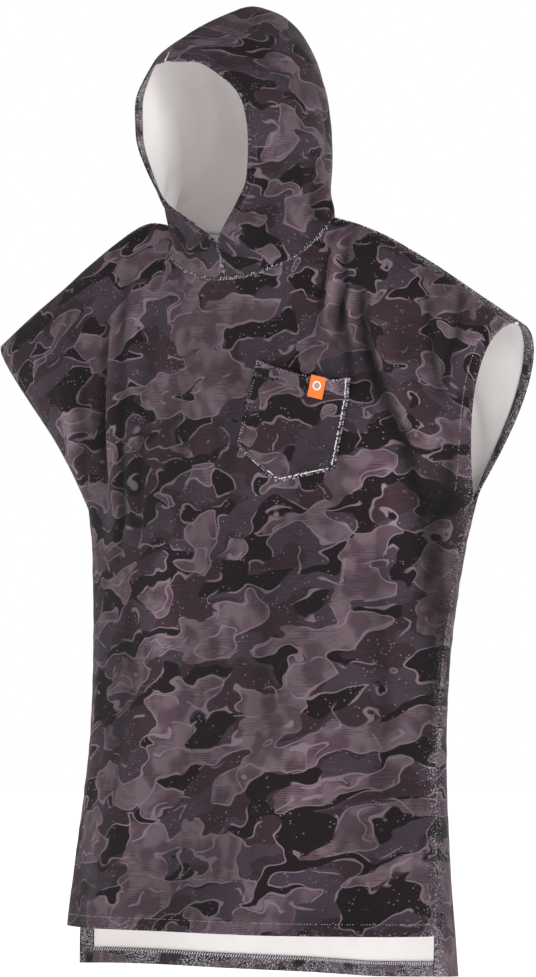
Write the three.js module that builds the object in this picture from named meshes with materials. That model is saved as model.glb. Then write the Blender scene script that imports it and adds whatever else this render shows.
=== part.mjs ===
// A hooded bath poncho of thick terry, filled out as when it is worn, with no wearer. A front and a back panel
// have cap sleeves cut in one with them, the hood is two halves with a centre seam, a patch pocket with a tab
// sits on the left of the chest, and every free edge has its hem turned to the inside. The back is longer than
// the front, with a slit at the foot of each side seam.
//
// Millimetres, +Z up. The front faces -Y and the wearer's left is +X. The origin is the middle of the neck, level
// with the inner ends of the shoulder seams.

import * as THREE from "three";

// Cloth
const CLOTH = 2.5;
const HEM_CLOTH = 1.5;
const SEAM_GAP = 0.3;
const PATCH_GAP = 0.5;

// Heights down the body
const ARMPIT = -425;
const SLIT_TOP = -966;
const FRONT_HEM = -1066;
const BACK_HEM = -1126;
const HEM_WIDTH = 22;
const HOOD_HEM_WIDTH = 15;

// Neck ring, where the hood is sewn to the panels
const NECK_HALF_WIDTH = 152;
const NECK_DEPTH = { front: 68, back: 50 };
const NECK_DROP = { front: 90, back: 15 };

// Shoulder seam, from the neck to the sleeve tip: how far out, and how high on the wearer's left and right
const RIDGE = [
  { reach: 152, left: 0, right: 0 },
  { reach: 200, left: -13, right: 6 },
  { reach: 250, left: -32, right: -14 },
  { reach: 300, left: -57, right: -46 },
  { reach: 350, left: -84, right: -80 },
  { reach: 420, left: -127, right: -123 },
  { reach: 488, left: -168, right: -168 },
];
const SLEEVE_TIP = RIDGE[RIDGE.length - 1];

// Armhole, which gapes below the sleeve tip and closes at the armpit. The right one hangs more nearly shut, with
// its edge drawn in between its ends.
const MOUTH = { halfOpening: 66, right: 0.5, left: 1, widestAt: 0.3, rise: 0.45, close: 1.05 };
const RIGHT_EDGE_DRAWN_IN = 11;
const SLEEVE_STARTS = 0.5;

// How far the hems ride up at the wearer's right and left edge, from a height down
const HEM_LIFT = { from: -700, right: 8, left: 2 };
// How far the back hem sags at its middle
const BACK_HEM_SAG = 13;

// How softly the cloth falls away from the neck at first, which evens out to the sleeve's round shoulder, and how
// fast its own fall takes over from the neck ring's place
const NECK_EASE = { front: 1.7, back: 1, roundFrom: 0.68, blend: 3 };

// Level sections of the body: half width, how far back the side seams lie, and the front and back at the centre
const SECTIONS = [
  { height: -425, halfWidth: 356, seam: 75, front: -90, back: 164 },
  { height: -490, halfWidth: 342, seam: 65, front: -91, back: 167 },
  { height: -640, halfWidth: 325, seam: 42, front: -94, back: 174 },
  { height: -790, halfWidth: 323, seam: 28, front: -102, back: 172 },
  { height: -970, halfWidth: 333, seam: 12, front: -137, back: 194 },
  { height: -1066, halfWidth: 338, seam: 5, front: -160, back: 218 },
  { height: -1126, halfWidth: 338, seam: 3, front: -166, back: 236 },
];

// Largest folds of each panel: a crest or a trough (rise below zero) along a line, its half width and its rise
const FRONT_FOLDS = [
  { fromX: -196, fromZ: -70, toX: -208, toZ: -430, spread: 26, rise: 14 },
  { fromX: -262, fromZ: -110, toX: -276, toZ: -520, spread: 34, rise: -16 },
  { fromX: 196, fromZ: -20, toX: 216, toZ: -170, spread: 20, rise: 6 },
  { fromX: 224, fromZ: -90, toX: 320, toZ: -430, spread: 22, rise: -11 },
  { fromX: 264, fromZ: -60, toX: 356, toZ: -390, spread: 26, rise: 9 },
  { fromX: 316, fromZ: -380, toX: 322, toZ: -720, spread: 26, rise: -6 },
  { fromX: -150, fromZ: -700, toX: -205, toZ: -1200, spread: 55, rise: 14 },
  { fromX: -30, fromZ: -760, toX: -60, toZ: -1200, spread: 60, rise: -12 },
  { fromX: 120, fromZ: -720, toX: 150, toZ: -1200, spread: 60, rise: 12 },
  { fromX: 235, fromZ: -640, toX: 262, toZ: -1200, spread: 45, rise: -10 },
];
const BACK_FOLDS = [
  { fromX: -210, fromZ: -90, toX: -230, toZ: -470, spread: 34, rise: 12 },
  { fromX: 205, fromZ: -80, toX: 235, toZ: -480, spread: 34, rise: 13 },
  { fromX: -282, fromZ: -130, toX: -292, toZ: -560, spread: 36, rise: -10 },
  { fromX: 280, fromZ: -120, toX: 290, toZ: -540, spread: 36, rise: -11 },
  { fromX: -40, fromZ: -560, toX: -90, toZ: -1300, spread: 70, rise: 20 },
  { fromX: 80, fromZ: -480, toX: 70, toZ: -1300, spread: 62, rise: -18 },
  { fromX: 190, fromZ: -600, toX: 215, toZ: -1300, spread: 58, rise: 17 },
  { fromX: -200, fromZ: -620, toX: -225, toZ: -1300, spread: 58, rise: -14 },
];

// Hood, from the neck seam up to the crown seam: its face edge, its widest place, and its centre back
const HOOD = [
  { edgeHalf: 0, edgeY: -68, edgeZ: -90, half: 152, sideY: 0, sideZ: 0, backY: 50, backZ: -15, arch: 0 },
  { edgeHalf: 0, edgeY: -86, edgeZ: -38, half: 143, sideY: -2, sideZ: 26, backY: 66, backZ: 12, arch: 0 },
  { edgeHalf: 62, edgeY: -120, edgeZ: 15, half: 134, sideY: -6, sideZ: 52, backY: 90, backZ: 42, arch: 0 },
  { edgeHalf: 88, edgeY: -127, edgeZ: 50, half: 128, sideY: -10, sideZ: 80, backY: 112, backZ: 76, arch: 0 },
  { edgeHalf: 106, edgeY: -143, edgeZ: 107, half: 121, sideY: -14, sideZ: 116, backY: 126, backZ: 116, arch: 1 },
  { edgeHalf: 106, edgeY: -150, edgeZ: 150, half: 115, sideY: -18, sideZ: 154, backY: 124, backZ: 156, arch: 3 },
  { edgeHalf: 98, edgeY: -158, edgeZ: 180, half: 109, sideY: -22, sideZ: 189, backY: 119, backZ: 199, arch: 5 },
  { edgeHalf: 76, edgeY: -169, edgeZ: 206, half: 98, sideY: -27, sideZ: 225, backY: 107, backZ: 240, arch: 9 },
  { edgeHalf: 46, edgeY: -184, edgeZ: 232, half: 73, sideY: -34, sideZ: 256, backY: 88, backZ: 278, arch: 17 },
  { edgeHalf: 24, edgeY: -198, edgeZ: 239, half: 40, sideY: -38, sideZ: 273, backY: 66, backZ: 298, arch: 26 },
  { edgeHalf: 0, edgeY: -208, edgeZ: 243, half: 0, sideY: -42, sideZ: 284, backY: 46, backZ: 304, arch: 33 },
];
const CROWN_EDGE_TURN = Math.PI / 6;
const CHIN_ROW = 1;

// The face edge curls down under the crown: how far, how soon it fades round the hood, and from which rows up
const LIP = { drop: 14, fade: 0.05, fromRow: 6 };

// Least length that stands for the way from the hood's edge to its centre back, for each radian of turn
const LEAST_PACE = 40;

// Patch pocket, a pentagon that the cloth's hang tilts: its centre top, size, tilt, how far its mouth gapes, and
// how fast it closes downwards
const POCKET = { x: 151, z: -232, width: 168, side: 130, point: 38, tilt: -0.23, gape: 12, closes: 1.5 };
const LABEL = { across: 31, top: 0.5, width: 24, length: 33, cloth: 1 };

// Shape of a fold: how full it is along its length, how much of it shows as depth where the panel turns to the
// side, and how fast it comes in below the shoulder and dies out at the panel's edge
const FOLD = { fullness: 0.7, sideways: 0.6, comesIn: 1.5, edgePower: 12 };

// Steps of the grids
const NECK_STEPS = 12;
const FRONT_SIDE_STEPS = 20;
const BACK_SIDE_STEPS = 10;
const SHOULDER_STEPS = 12;
const BODY_STEPS = 8;
const SLIT_STEPS = 2;
const HOOD_STEPS_PER_ROW = 2;
const SLEEVE_HEM_SHARE = 5; // the steps beside the neck for each step that an armhole's hem takes
const POCKET_STEPS = 10;
const POCKET_SIDE_STEPS = 6;
const POCKET_POINT_STEPS = 3;

// Colours of the dyed print's ground, the undyed inside and the tab
const PRINTED = { color: 0x3d343c, roughness: 0.93, metalness: 0 };
const PRINTED_HEM = { color: 0x2f282f, roughness: 0.93, metalness: 0 };
const TAB = { color: 0xe2601c, roughness: 0.6, metalness: 0 };

const HALF_GAP = SEAM_GAP / 2;
const TINY = 1e-6;
const MUCH_SHORTER = 0.9;
const NECK_SHARE = NECK_HALF_WIDTH / SLEEVE_TIP.reach;
const lerp = THREE.MathUtils.lerp;
const smoothstep = THREE.MathUtils.smoothstep;

/** One column of a table, read smoothly at a place along another column. */
function readTable(rows, by, wanted, at) {
  const last = rows.length - 1;
  const falling = rows[last][by] < rows[0][by] ? -1 : 1;
  let i = 0;
  while (i < last - 1 && falling * at > falling * rows[i + 1][by]) i += 1;
  const slope = (k) => {
    const before = rows[Math.max(k - 1, 0)];
    const after = rows[Math.min(k + 1, last)];
    return (after[wanted] - before[wanted]) / (after[by] - before[by]);
  };
  const step = rows[i + 1][by] - rows[i][by];
  const t = THREE.MathUtils.clamp((at - rows[i][by]) / step, 0, 1);
  const t2 = t * t;
  const t3 = t2 * t;
  const start = (2 * t3 - 3 * t2 + 1) * rows[i][wanted] + (t3 - 2 * t2 + t) * step * slope(i);
  const end = (3 * t2 - 2 * t3) * rows[i + 1][wanted] + (t3 - t2) * step * slope(i + 1);
  return start + end;
}

/** The body's level section at a height. */
function sectionAt(height) {
  const section = {};
  for (const name of ["halfWidth", "seam", "front", "back"]) {
    section[name] = readTable(SECTIONS, "height", name, height);
  }
  return section;
}

/** How far the folds push the cloth out at a place on a panel, in front view. */
function foldRise(folds, x, z) {
  let rise = 0;
  for (const fold of folds) {
    const along = (fold.fromZ - z) / (fold.fromZ - fold.toZ);
    if (along <= 0 || along >= 1) continue;
    const off = (x - lerp(fold.fromX, fold.toX, along)) / fold.spread;
    rise += fold.rise * Math.exp(-off * off) * Math.sin(Math.PI * along) ** FOLD.fullness;
  }
  return rise;
}

/** Half the armhole's opening, a share of the way down from the sleeve tip to the armpit. */
function mouthOpening(fall, across) {
  const open = MOUTH.halfOpening * (across < 0 ? MOUTH.right : MOUTH.left);
  const rising = (fall / MOUTH.widestAt) ** MOUTH.rise;
  const closing = ((1 - fall) / (1 - MOUTH.widestAt)) ** MOUTH.close;
  return open * rising * closing;
}

/** The top edge of a panel: its height and its depth from the plane of the shoulder seams. */
function topEdge(side, across) {
  const share = Math.abs(across) / NECK_SHARE;
  if (share >= 1) {
    const hand = across < 0 ? "right" : "left";
    return { height: readTable(RIDGE, "reach", hand, Math.abs(across) * SLEEVE_TIP.reach), depth: 0 };
  }
  const round = Math.sqrt(1 - share * share);
  const face = side < 0 ? "front" : "back";
  return { height: -NECK_DROP[face] * round, depth: NECK_DEPTH[face] * round };
}

/** How far a panel has come forward or back from the shoulder seams, at a turn over the shoulder. */
function shoulderDepth(side, across, turn, fall, sleeve) {
  const section = sectionAt(ARMPIT);
  const full = Math.abs((side < 0 ? section.front : section.back) - section.seam);
  const rounder = smoothstep(Math.abs(across), NECK_SHARE, NECK_EASE.roundFrom);
  const ease = lerp(side < 0 ? NECK_EASE.front : NECK_EASE.back, 1, rounder);
  const body = full * Math.sqrt(Math.max(0, 1 - across * across)) * Math.sin(turn) ** ease;
  const lean = section.seam * lerp(Math.sin(turn) ** 2, fall, sleeve);
  return lean + side * Math.hypot(body, mouthOpening(fall, across) * sleeve);
}

/** A point of a panel's outer face. side is -1 on the front panel and 1 on the back one, across runs from -1 at
 *  the wearer's right edge to 1 at the left, and a row gives either a turn over the shoulder or a height. */
function panelPoint(side, across, row) {
  const folds = side < 0 ? FRONT_FOLDS : BACK_FOLDS;
  const point = new THREE.Vector3();
  let edgeFade = 1;
  if (row.turn !== undefined) {
    const fall = 1 - Math.cos(row.turn);
    const top = topEdge(side, across);
    const sleeve = smoothstep(Math.abs(across), SLEEVE_STARTS, 1);
    const drawnIn = across < 0 ? RIGHT_EDGE_DRAWN_IN * Math.sin(Math.PI * fall) * sleeve : 0;
    point.x = across * (lerp(SLEEVE_TIP.reach, sectionAt(ARMPIT).halfWidth, fall) - drawnIn);
    point.z = lerp(top.height, ARMPIT, fall);
    const inNeck = Math.abs(across) < NECK_SHARE;
    const turn = inNeck ? Math.acos(1 - point.z / ARMPIT) : row.turn;
    const topTurn = inNeck ? Math.acos(1 - top.height / ARMPIT) : 0;
    const topShift = side * top.depth - shoulderDepth(side, across, topTurn, 0, sleeve);
    point.y = shoulderDepth(side, across, turn, fall, sleeve) + topShift * (1 - fall) ** NECK_EASE.blend;
    point.y += side * HALF_GAP;
    edgeFade = Math.sin(Math.min(row.turn * FOLD.comesIn, Math.PI / 2));
  } else {
    const section = sectionAt(row.height);
    const round = Math.sqrt(Math.max(0, 1 - across * across));
    const full = Math.abs((side < 0 ? section.front : section.back) - section.seam);
    point.set(across * section.halfWidth, section.seam + side * (full * round + HALF_GAP), row.height);
  }
  const rise = foldRise(folds, point.x, point.z) * edgeFade * (1 - across ** FOLD.edgePower);
  const sideways = FOLD.sideways * across;
  point.x += rise * sideways;
  point.y += side * rise * Math.sqrt(1 - sideways * sideways);
  if (row.height !== undefined) {
    const low = smoothstep(-row.height, -HEM_LIFT.from, -FRONT_HEM);
    point.z += low * lerp(HEM_LIFT.right, HEM_LIFT.left, smoothstep(across, -1, 1));
    if (side > 0) point.z -= low * BACK_HEM_SAG * (1 - across * across);
  }
  return point;
}

/** Steps across a panel: even round the neck, and closer together towards the side seams. */
function stepsAcross(sideSteps) {
  const neck = [];
  for (let i = 0; i <= NECK_STEPS; i += 1) {
    neck.push(-NECK_SHARE * Math.cos((Math.PI * i) / NECK_STEPS));
  }
  const side = [];
  for (let i = 1; i <= sideSteps; i += 1) {
    side.push(lerp(NECK_SHARE, 1, Math.sin((Math.PI / 2) * (i / sideSteps))));
  }
  return [...side.map((across) => -across).reverse(), ...neck, ...side];
}

/** Rows down a panel: turns over the shoulder, then heights down the body to the hem. */
function rowsDown(side) {
  const rows = [];
  for (let i = 0; i <= SHOULDER_STEPS; i += 1) rows.push({ turn: (Math.PI / 2) * (i / SHOULDER_STEPS) });
  for (let i = 1; i <= BODY_STEPS; i += 1) rows.push({ height: lerp(ARMPIT, SLIT_TOP, i / BODY_STEPS) });
  for (let i = 1; i <= SLIT_STEPS; i += 1) {
    rows.push({ height: lerp(SLIT_TOP, FRONT_HEM + HEM_WIDTH, i / SLIT_STEPS) });
  }
  rows.push({ height: FRONT_HEM });
  if (side > 0) {
    rows.push({ height: BACK_HEM + HEM_WIDTH });
    rows.push({ height: BACK_HEM });
  }
  return rows;
}

/** Normals of a grid of points, the mean of the faces round each one, turned to the outside. */
function gridNormals(grid, outward) {
  const edge = new THREE.Vector3();
  const other = new THREE.Vector3();
  const normals = grid.map((line) => line.map(() => new THREE.Vector3()));
  for (let i = 0; i + 1 < grid.length; i += 1) {
    for (let j = 0; j + 1 < grid[0].length; j += 1) {
      edge.subVectors(grid[i + 1][j + 1], grid[i][j]);
      other.subVectors(grid[i][j + 1], grid[i + 1][j]);
      const face = new THREE.Vector3().crossVectors(edge, other);
      for (const [a, b] of [[i, j], [i + 1, j], [i, j + 1], [i + 1, j + 1]]) normals[a][b].add(face);
    }
  }
  const middle = normals[grid.length >> 1][grid[0].length >> 1];
  const sign = middle.dot(outward) < 0 ? -1 : 1;
  for (const line of normals) for (const normal of line) normal.normalize().multiplyScalar(sign);
  return normals;
}

/** A grid moved along its normals. */
function moved(grid, normals, distance) {
  return grid.map((line, i) => line.map((point, j) => point.clone().addScaledVector(normals[i][j], distance)));
}

/** Part of a grid, from one row and column to another. */
function partOf(grid, firstRow, lastRow, firstColumn, lastColumn) {
  return grid.slice(firstRow, lastRow + 1).map((line) => line.slice(firstColumn, lastColumn + 1));
}

/** Which way each cell of a grid is cut into triangles: true along its first diagonal, unless the other is
 *  much the shorter. */
function cellCuts(grid) {
  return grid.slice(1).map((line, i) => {
    return line.slice(1).map((point, j) => {
      return grid[i][j].distanceTo(point) * MUCH_SHORTER <= grid[i][j + 1].distanceTo(line[j]);
    });
  });
}

/** One closed wall between an outer and an inner grid of points, both cut along the same diagonals. */
function wall(name, outer, inner, finish, cuts = cellCuts(outer)) {
  const rows = outer.length;
  const columns = outer[0].length;
  const points = [...outer.flat(), ...inner.flat()];
  const at = (layer, i, j) => layer * rows * columns + i * columns + j;
  const faces = [];
  const quad = (a, b, c, d) => faces.push([a, b, c], [a, c, d]);
  for (let i = 0; i + 1 < rows; i += 1) {
    for (let j = 0; j + 1 < columns; j += 1) {
      const cell = (layer) => [at(layer, i, j), at(layer, i + 1, j), at(layer, i + 1, j + 1), at(layer, i, j + 1)];
      const [a, b, c, d] = cell(0);
      const [e, f, g, h] = cell(1);
      if (cuts[i][j]) {
        faces.push([a, b, c], [a, c, d], [e, g, f], [e, h, g]);
      } else {
        faces.push([a, b, d], [b, c, d], [e, h, f], [f, h, g]);
      }
    }
  }
  for (let j = 0; j + 1 < columns; j += 1) {
    quad(at(0, 0, j), at(0, 0, j + 1), at(1, 0, j + 1), at(1, 0, j));
    quad(at(0, rows - 1, j), at(1, rows - 1, j), at(1, rows - 1, j + 1), at(0, rows - 1, j + 1));
  }
  for (let i = 0; i + 1 < rows; i += 1) {
    quad(at(0, i, 0), at(1, i, 0), at(1, i + 1, 0), at(0, i + 1, 0));
    quad(at(0, i, columns - 1), at(0, i + 1, columns - 1), at(1, i + 1, columns - 1), at(1, i, columns - 1));
  }
  const volume = faces.reduce((sum, [a, b, c]) => {
    return sum + new THREE.Vector3().crossVectors(points[b], points[c]).dot(points[a]);
  }, 0);
  const geometry = new THREE.BufferGeometry().setFromPoints(points);
  geometry.setIndex(faces.flatMap(([a, b, c]) => (volume < 0 ? [a, c, b] : [a, b, c])));
  geometry.computeVertexNormals();
  const mesh = new THREE.Mesh(geometry, new THREE.MeshStandardMaterial(finish));
  mesh.name = name;
  return mesh;
}

/** The grids of a panel. At the shoulder and side seams the wall's thickness is square to the seam. */
function panelGrids(side, sideSteps) {
  const across = stepsAcross(sideSteps);
  const rows = rowsDown(side);
  const outer = rows.map((row) => across.map((a) => panelPoint(side, a, row)));
  const normals = gridNormals(outer, new THREE.Vector3(0, side, 0));
  const last = across.length - 1;
  across.forEach((a, j) => {
    if (Math.abs(a) < NECK_SHARE - TINY) return;
    const next = outer[0][Math.min(j + 1, last)];
    const before = outer[0][Math.max(j - 1, 0)];
    const from = Math.abs(before.y) > 1 ? outer[0][j] : before;
    const to = Math.abs(next.y) > 1 ? outer[0][j] : next;
    normals[0][j].set(from.z - to.z, 0, to.x - from.x).normalize();
  });
  rows.forEach((row, i) => {
    if (row.turn !== undefined && row.turn < Math.PI / 2) return;
    normals[i][0].set(-1, 0, 0);
    normals[i][last].set(1, 0, 0);
  });
  return { outer, normals, inner: moved(outer, normals, -CLOTH), cuts: cellCuts(outer) };
}

/** A hem turned to the inside of a wall, made from part of the wall's own grid. */
function turnedHem(name, wallGrids, firstRow, lastRow, firstColumn, lastColumn) {
  const inner = partOf(wallGrids.inner, firstRow, lastRow, firstColumn, lastColumn);
  const normals = partOf(wallGrids.normals, firstRow, lastRow, firstColumn, lastColumn);
  const cuts = partOf(wallGrids.cuts, firstRow, lastRow - 1, firstColumn, lastColumn - 1);
  const face = moved(inner, normals, -SEAM_GAP);
  return wall(name, face, moved(face, normals, -HEM_CLOTH), PRINTED_HEM, cuts);
}

/** One row of the hood's table, read smoothly between its rows. */
function hoodRow(at) {
  const rows = HOOD.map((row, index) => ({ ...row, index }));
  const row = {};
  for (const name of Object.keys(HOOD[0])) row[name] = readTable(rows, "index", name, at);
  row.edgeHalf = Math.max(0, row.edgeHalf);
  return row;
}

/** The line of points round one level of a hood half, from its face edge to the centre back. The first step away
 *  from the edge is as wide as the hem there. */
function hoodLine(at, sideSign) {
  const row = hoodRow(at);
  const start = row.half > 1 ? Math.asin(row.edgeHalf / row.half) : CROWN_EDGE_TURN;
  const reach = (row.sideY - row.edgeY) / Math.cos(start);
  const pace = Math.hypot(row.half * Math.cos(start), reach * Math.sin(start), LEAST_PACE);
  const first = HOOD_HEM_WIDTH / (pace * (Math.PI - start));
  const line = [];
  for (let i = 0; i <= NECK_STEPS; i += 1) {
    const even = i / NECK_STEPS;
    const hemmed = i === 0 ? 0 : lerp(first, 1, (i - 1) / (NECK_STEPS - 1));
    const share = lerp(even, hemmed, Math.min(at / CHIN_ROW, 1));
    const turn = lerp(start, Math.PI, share);
    const forward = Math.cos(turn) / Math.cos(start);
    const back = -Math.cos(turn);
    const [toY, toZ, amount] = turn < Math.PI / 2 ? [row.edgeY, row.edgeZ, forward] : [row.backY, row.backZ, back];
    const y = lerp(row.sideY, toY, amount);
    const curl = LIP.drop * Math.exp(-share / LIP.fade) * smoothstep(at, LIP.fromRow, HOOD.length - 1);
    const z = lerp(row.sideZ, toZ, amount) + row.arch * Math.sin(Math.PI * share) + SEAM_GAP - curl;
    line.push(new THREE.Vector3(sideSign * Math.max(row.half * Math.sin(turn), HALF_GAP), y, z));
  }
  return line;
}

/** The grids of a hood half. On the centre seams the wall's thickness lies in the plane of the seam. */
function hoodGrids(sideSign) {
  const steps = (HOOD.length - 1) * HOOD_STEPS_PER_ROW;
  const outer = [];
  for (let i = 0; i <= steps; i += 1) outer.push(hoodLine(i / HOOD_STEPS_PER_ROW, sideSign));
  const normals = gridNormals(outer, new THREE.Vector3(sideSign, 0, 0));
  outer.forEach((line, i) => {
    line.forEach((point, j) => {
      if (Math.abs(point.x) <= HALF_GAP + TINY) normals[i][j].setX(0).normalize();
    });
  });
  return { outer, normals, inner: moved(outer, normals, -CLOTH), cuts: cellCuts(outer) };
}

/** The place on a grid's faces that lies over a point of the front view. */
function onGrid(grid, cuts, x, z) {
  const spot = new THREE.Vector3(x, 0, z);
  const flat = (point) => new THREE.Vector3(point.x, 0, point.z);
  const weights = new THREE.Vector3();
  for (let i = 0; i + 1 < grid.length; i += 1) {
    for (let j = 0; j + 1 < grid[0].length; j += 1) {
      const corners = [grid[i][j], grid[i + 1][j], grid[i + 1][j + 1], grid[i][j + 1]];
      const halves = cuts[i][j] ? [[0, 1, 2], [0, 2, 3]] : [[0, 1, 3], [1, 2, 3]];
      for (const [a, b, c] of halves) {
        const face = new THREE.Triangle(corners[a], corners[b], corners[c]);
        const shadow = new THREE.Triangle(flat(corners[a]), flat(corners[b]), flat(corners[c]));
        if (!shadow.getBarycoord(spot, weights) || Math.min(weights.x, weights.y, weights.z) < -TINY) continue;
        return new THREE.Vector3()
          .addScaledVector(face.a, weights.x)
          .addScaledVector(face.b, weights.y)
          .addScaledVector(face.c, weights.z);
      }
    }
  }
  throw new Error("no face of the panel lies over x " + x + ", z " + z);
}

/** A point over the front panel, from the pocket's own axes: across it, down it, and out from the panel. */
function overPanel(panel, across, down, out) {
  const cos = Math.cos(POCKET.tilt);
  const sin = Math.sin(POCKET.tilt);
  const x = POCKET.x + across * cos + down * sin;
  const z = POCKET.z + across * sin - down * cos;
  const point = onGrid(panel.outer, panel.cuts, x, z);
  point.y -= out;
  return point;
}

/** How far the pocket stands off the panel: close along its sewn edges, open at its mouth. */
function pocketGape(across, down) {
  const middle = 1 - (2 * across / POCKET.width) ** 2;
  const above = Math.max(0, 1 - down / POCKET.side);
  return PATCH_GAP + POCKET.gape * middle * above ** POCKET.closes;
}

/** A grid of points a given distance out from the pocket's back. */
function pocketGrid(panel, out) {
  const rows = [];
  for (let i = 0; i <= POCKET_SIDE_STEPS + POCKET_POINT_STEPS; i += 1) {
    const line = [];
    for (let j = 0; j <= POCKET_STEPS; j += 1) {
      const across = POCKET.width * (j / POCKET_STEPS - 0.5);
      const lowest = POCKET.side + POCKET.point * (1 - Math.abs(2 * across) / POCKET.width);
      const down = lowest * (i / (POCKET_SIDE_STEPS + POCKET_POINT_STEPS));
      line.push(overPanel(panel, across, down, pocketGape(across, down) + out));
    }
    rows.push(line);
  }
  return rows;
}

/** The tab on the pocket's face, at its top edge. */
function label(panel) {
  const layer = (out) => {
    const rows = [];
    for (const down of [LABEL.top, LABEL.length / 2, LABEL.length]) {
      const line = [];
      for (const share of [-0.5, 0, 0.5]) {
        const across = LABEL.across + share * LABEL.width;
        line.push(overPanel(panel, across, down, pocketGape(across, down) + CLOTH + PATCH_GAP + out));
      }
      rows.push(line);
    }
    return rows;
  };
  return wall("pocket_label", layer(LABEL.cloth), layer(0), TAB);
}

const front = panelGrids(-1, FRONT_SIDE_STEPS);
const back = panelGrids(1, BACK_SIDE_STEPS);
const hoodLeft = hoodGrids(1);
const hoodRight = hoodGrids(-1);

const poncho = new THREE.Group();
poncho.add(wall("front_panel", front.outer, front.inner, PRINTED));
poncho.add(wall("back_panel", back.outer, back.inner, PRINTED));
poncho.add(wall("hood_left", hoodLeft.outer, hoodLeft.inner, PRINTED));
poncho.add(wall("hood_right", hoodRight.outer, hoodRight.inner, PRINTED));

// Hems along the hood's face edge
const chin = CHIN_ROW * HOOD_STEPS_PER_ROW;
const crown = hoodLeft.outer.length - 1;
poncho.add(turnedHem("hood_hem_left", hoodLeft, chin + 1, crown, 0, 1));
poncho.add(turnedHem("hood_hem_right", hoodRight, chin + 1, crown, 0, 1));

// Hems of the armholes
const frontLast = front.outer[0].length - 1;
const backLast = back.outer[0].length - 1;
const frontHem = FRONT_SIDE_STEPS / SLEEVE_HEM_SHARE;
const backHem = BACK_SIDE_STEPS / SLEEVE_HEM_SHARE;
poncho.add(turnedHem("sleeve_hem_front_right", front, 1, SHOULDER_STEPS - 1, 0, frontHem));
poncho.add(turnedHem("sleeve_hem_front_left", front, 1, SHOULDER_STEPS - 1, frontLast - frontHem, frontLast));
poncho.add(turnedHem("sleeve_hem_back_right", back, 1, SHOULDER_STEPS - 1, 0, backHem));
poncho.add(turnedHem("sleeve_hem_back_left", back, 1, SHOULDER_STEPS - 1, backLast - backHem, backLast));

// Hems along the foot of each panel, and up the slits of the back
const frontFoot = front.outer.length - 1;
const backFoot = back.outer.length - 1;
const slitTop = SHOULDER_STEPS + BODY_STEPS;
poncho.add(turnedHem("front_hem", front, frontFoot - 1, frontFoot, 1, frontLast - 1));
poncho.add(turnedHem("back_hem", back, backFoot - 1, backFoot, 1, backLast - 1));
poncho.add(turnedHem("slit_hem_right", back, slitTop, backFoot, 0, 1));
poncho.add(turnedHem("slit_hem_left", back, slitTop, backFoot, backLast - 1, backLast));

// Pocket and its tab
poncho.add(wall("pocket", pocketGrid(front, CLOTH), pocketGrid(front, 0), PRINTED));
poncho.add(label(front));

export default poncho;
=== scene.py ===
"""A hooded bath poncho of thick terry, as it hangs when it is worn: its cloth, seams, pocket and tab.

Sizes are in millimetres, as a maker would write them, and turn to metres where a mesh is made. +Z is up, the front
faces -Y and the wearer's left is +X. The origin is the middle of the neck, level with the inner ends of the
shoulder seams.
"""

from __future__ import annotations

import logging
import math
from dataclasses import dataclass, field, replace
from enum import Enum
from functools import partial
from typing import Any, Callable, Sequence

import bpy
import numpy as np
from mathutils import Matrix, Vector
from mathutils.bvhtree import BVHTree


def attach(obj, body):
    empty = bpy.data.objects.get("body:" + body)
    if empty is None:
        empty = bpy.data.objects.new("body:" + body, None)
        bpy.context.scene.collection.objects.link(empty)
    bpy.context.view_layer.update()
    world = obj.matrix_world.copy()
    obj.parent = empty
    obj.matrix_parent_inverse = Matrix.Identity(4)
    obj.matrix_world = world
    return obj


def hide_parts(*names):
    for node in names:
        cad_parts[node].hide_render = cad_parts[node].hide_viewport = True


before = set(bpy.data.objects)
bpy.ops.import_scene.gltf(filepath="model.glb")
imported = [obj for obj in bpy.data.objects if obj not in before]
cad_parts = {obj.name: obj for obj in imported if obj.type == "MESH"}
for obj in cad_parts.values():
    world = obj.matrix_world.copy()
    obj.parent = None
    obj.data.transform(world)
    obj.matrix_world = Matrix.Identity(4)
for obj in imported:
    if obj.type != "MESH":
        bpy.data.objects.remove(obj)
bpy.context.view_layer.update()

log = logging.getLogger("poncho")

MM = 0.001
FLAT_MAP = "cloth"
WEAR = "wear"
RELIEF = "relief"
RIGHT, LEFT = -1, 1
FRONT, BACK = -1, 1


# ----------------------------------------------
# Curves and tables
# ----------------------------------------------


def smoothstep(value: np.ndarray, low: float, high: float) -> np.ndarray:
    """A soft step from 0 at low to 1 at high."""
    share = np.clip((value - low) / (high - low), 0, 1)
    return share * share * (3 - 2 * share)


def mix(start: Any, end: Any, share: Any) -> Any:
    """The value a share of the way from start to end."""
    return start + (end - start) * share


def read_table(table: Sequence[Sequence[float]], column: int, at: np.ndarray) -> np.ndarray:
    """Reads a column of a table smoothly at places along its first column.

    Args:
        table: Rows of numbers, whose first column rises or falls all the way.
        column: The column that is wanted.
        at: Places along the first column.

    Returns:
        The column's value at each place.
    """
    rows = np.asarray(table, float)
    keys, values = rows[:, 0], rows[:, column]
    at = np.asarray(at, float)
    if keys[-1] < keys[0]:
        keys, at = -keys, -at
    slopes = np.empty_like(values)
    slopes[1:-1] = (values[2:] - values[:-2]) / (keys[2:] - keys[:-2])
    slopes[0] = (values[1] - values[0]) / (keys[1] - keys[0])
    slopes[-1] = (values[-1] - values[-2]) / (keys[-1] - keys[-2])
    i = np.clip(np.searchsorted(keys, at, side="left") - 1, 0, len(keys) - 2)
    step = keys[i + 1] - keys[i]
    t = np.clip((at - keys[i]) / step, 0, 1)
    t2, t3 = t * t, t * t * t
    start = (2 * t3 - 3 * t2 + 1) * values[i] + (t3 - 2 * t2 + t) * step * slopes[i]
    end = (3 * t2 - 2 * t3) * values[i + 1] + (t3 - t2) * step * slopes[i + 1]
    return start + end


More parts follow.
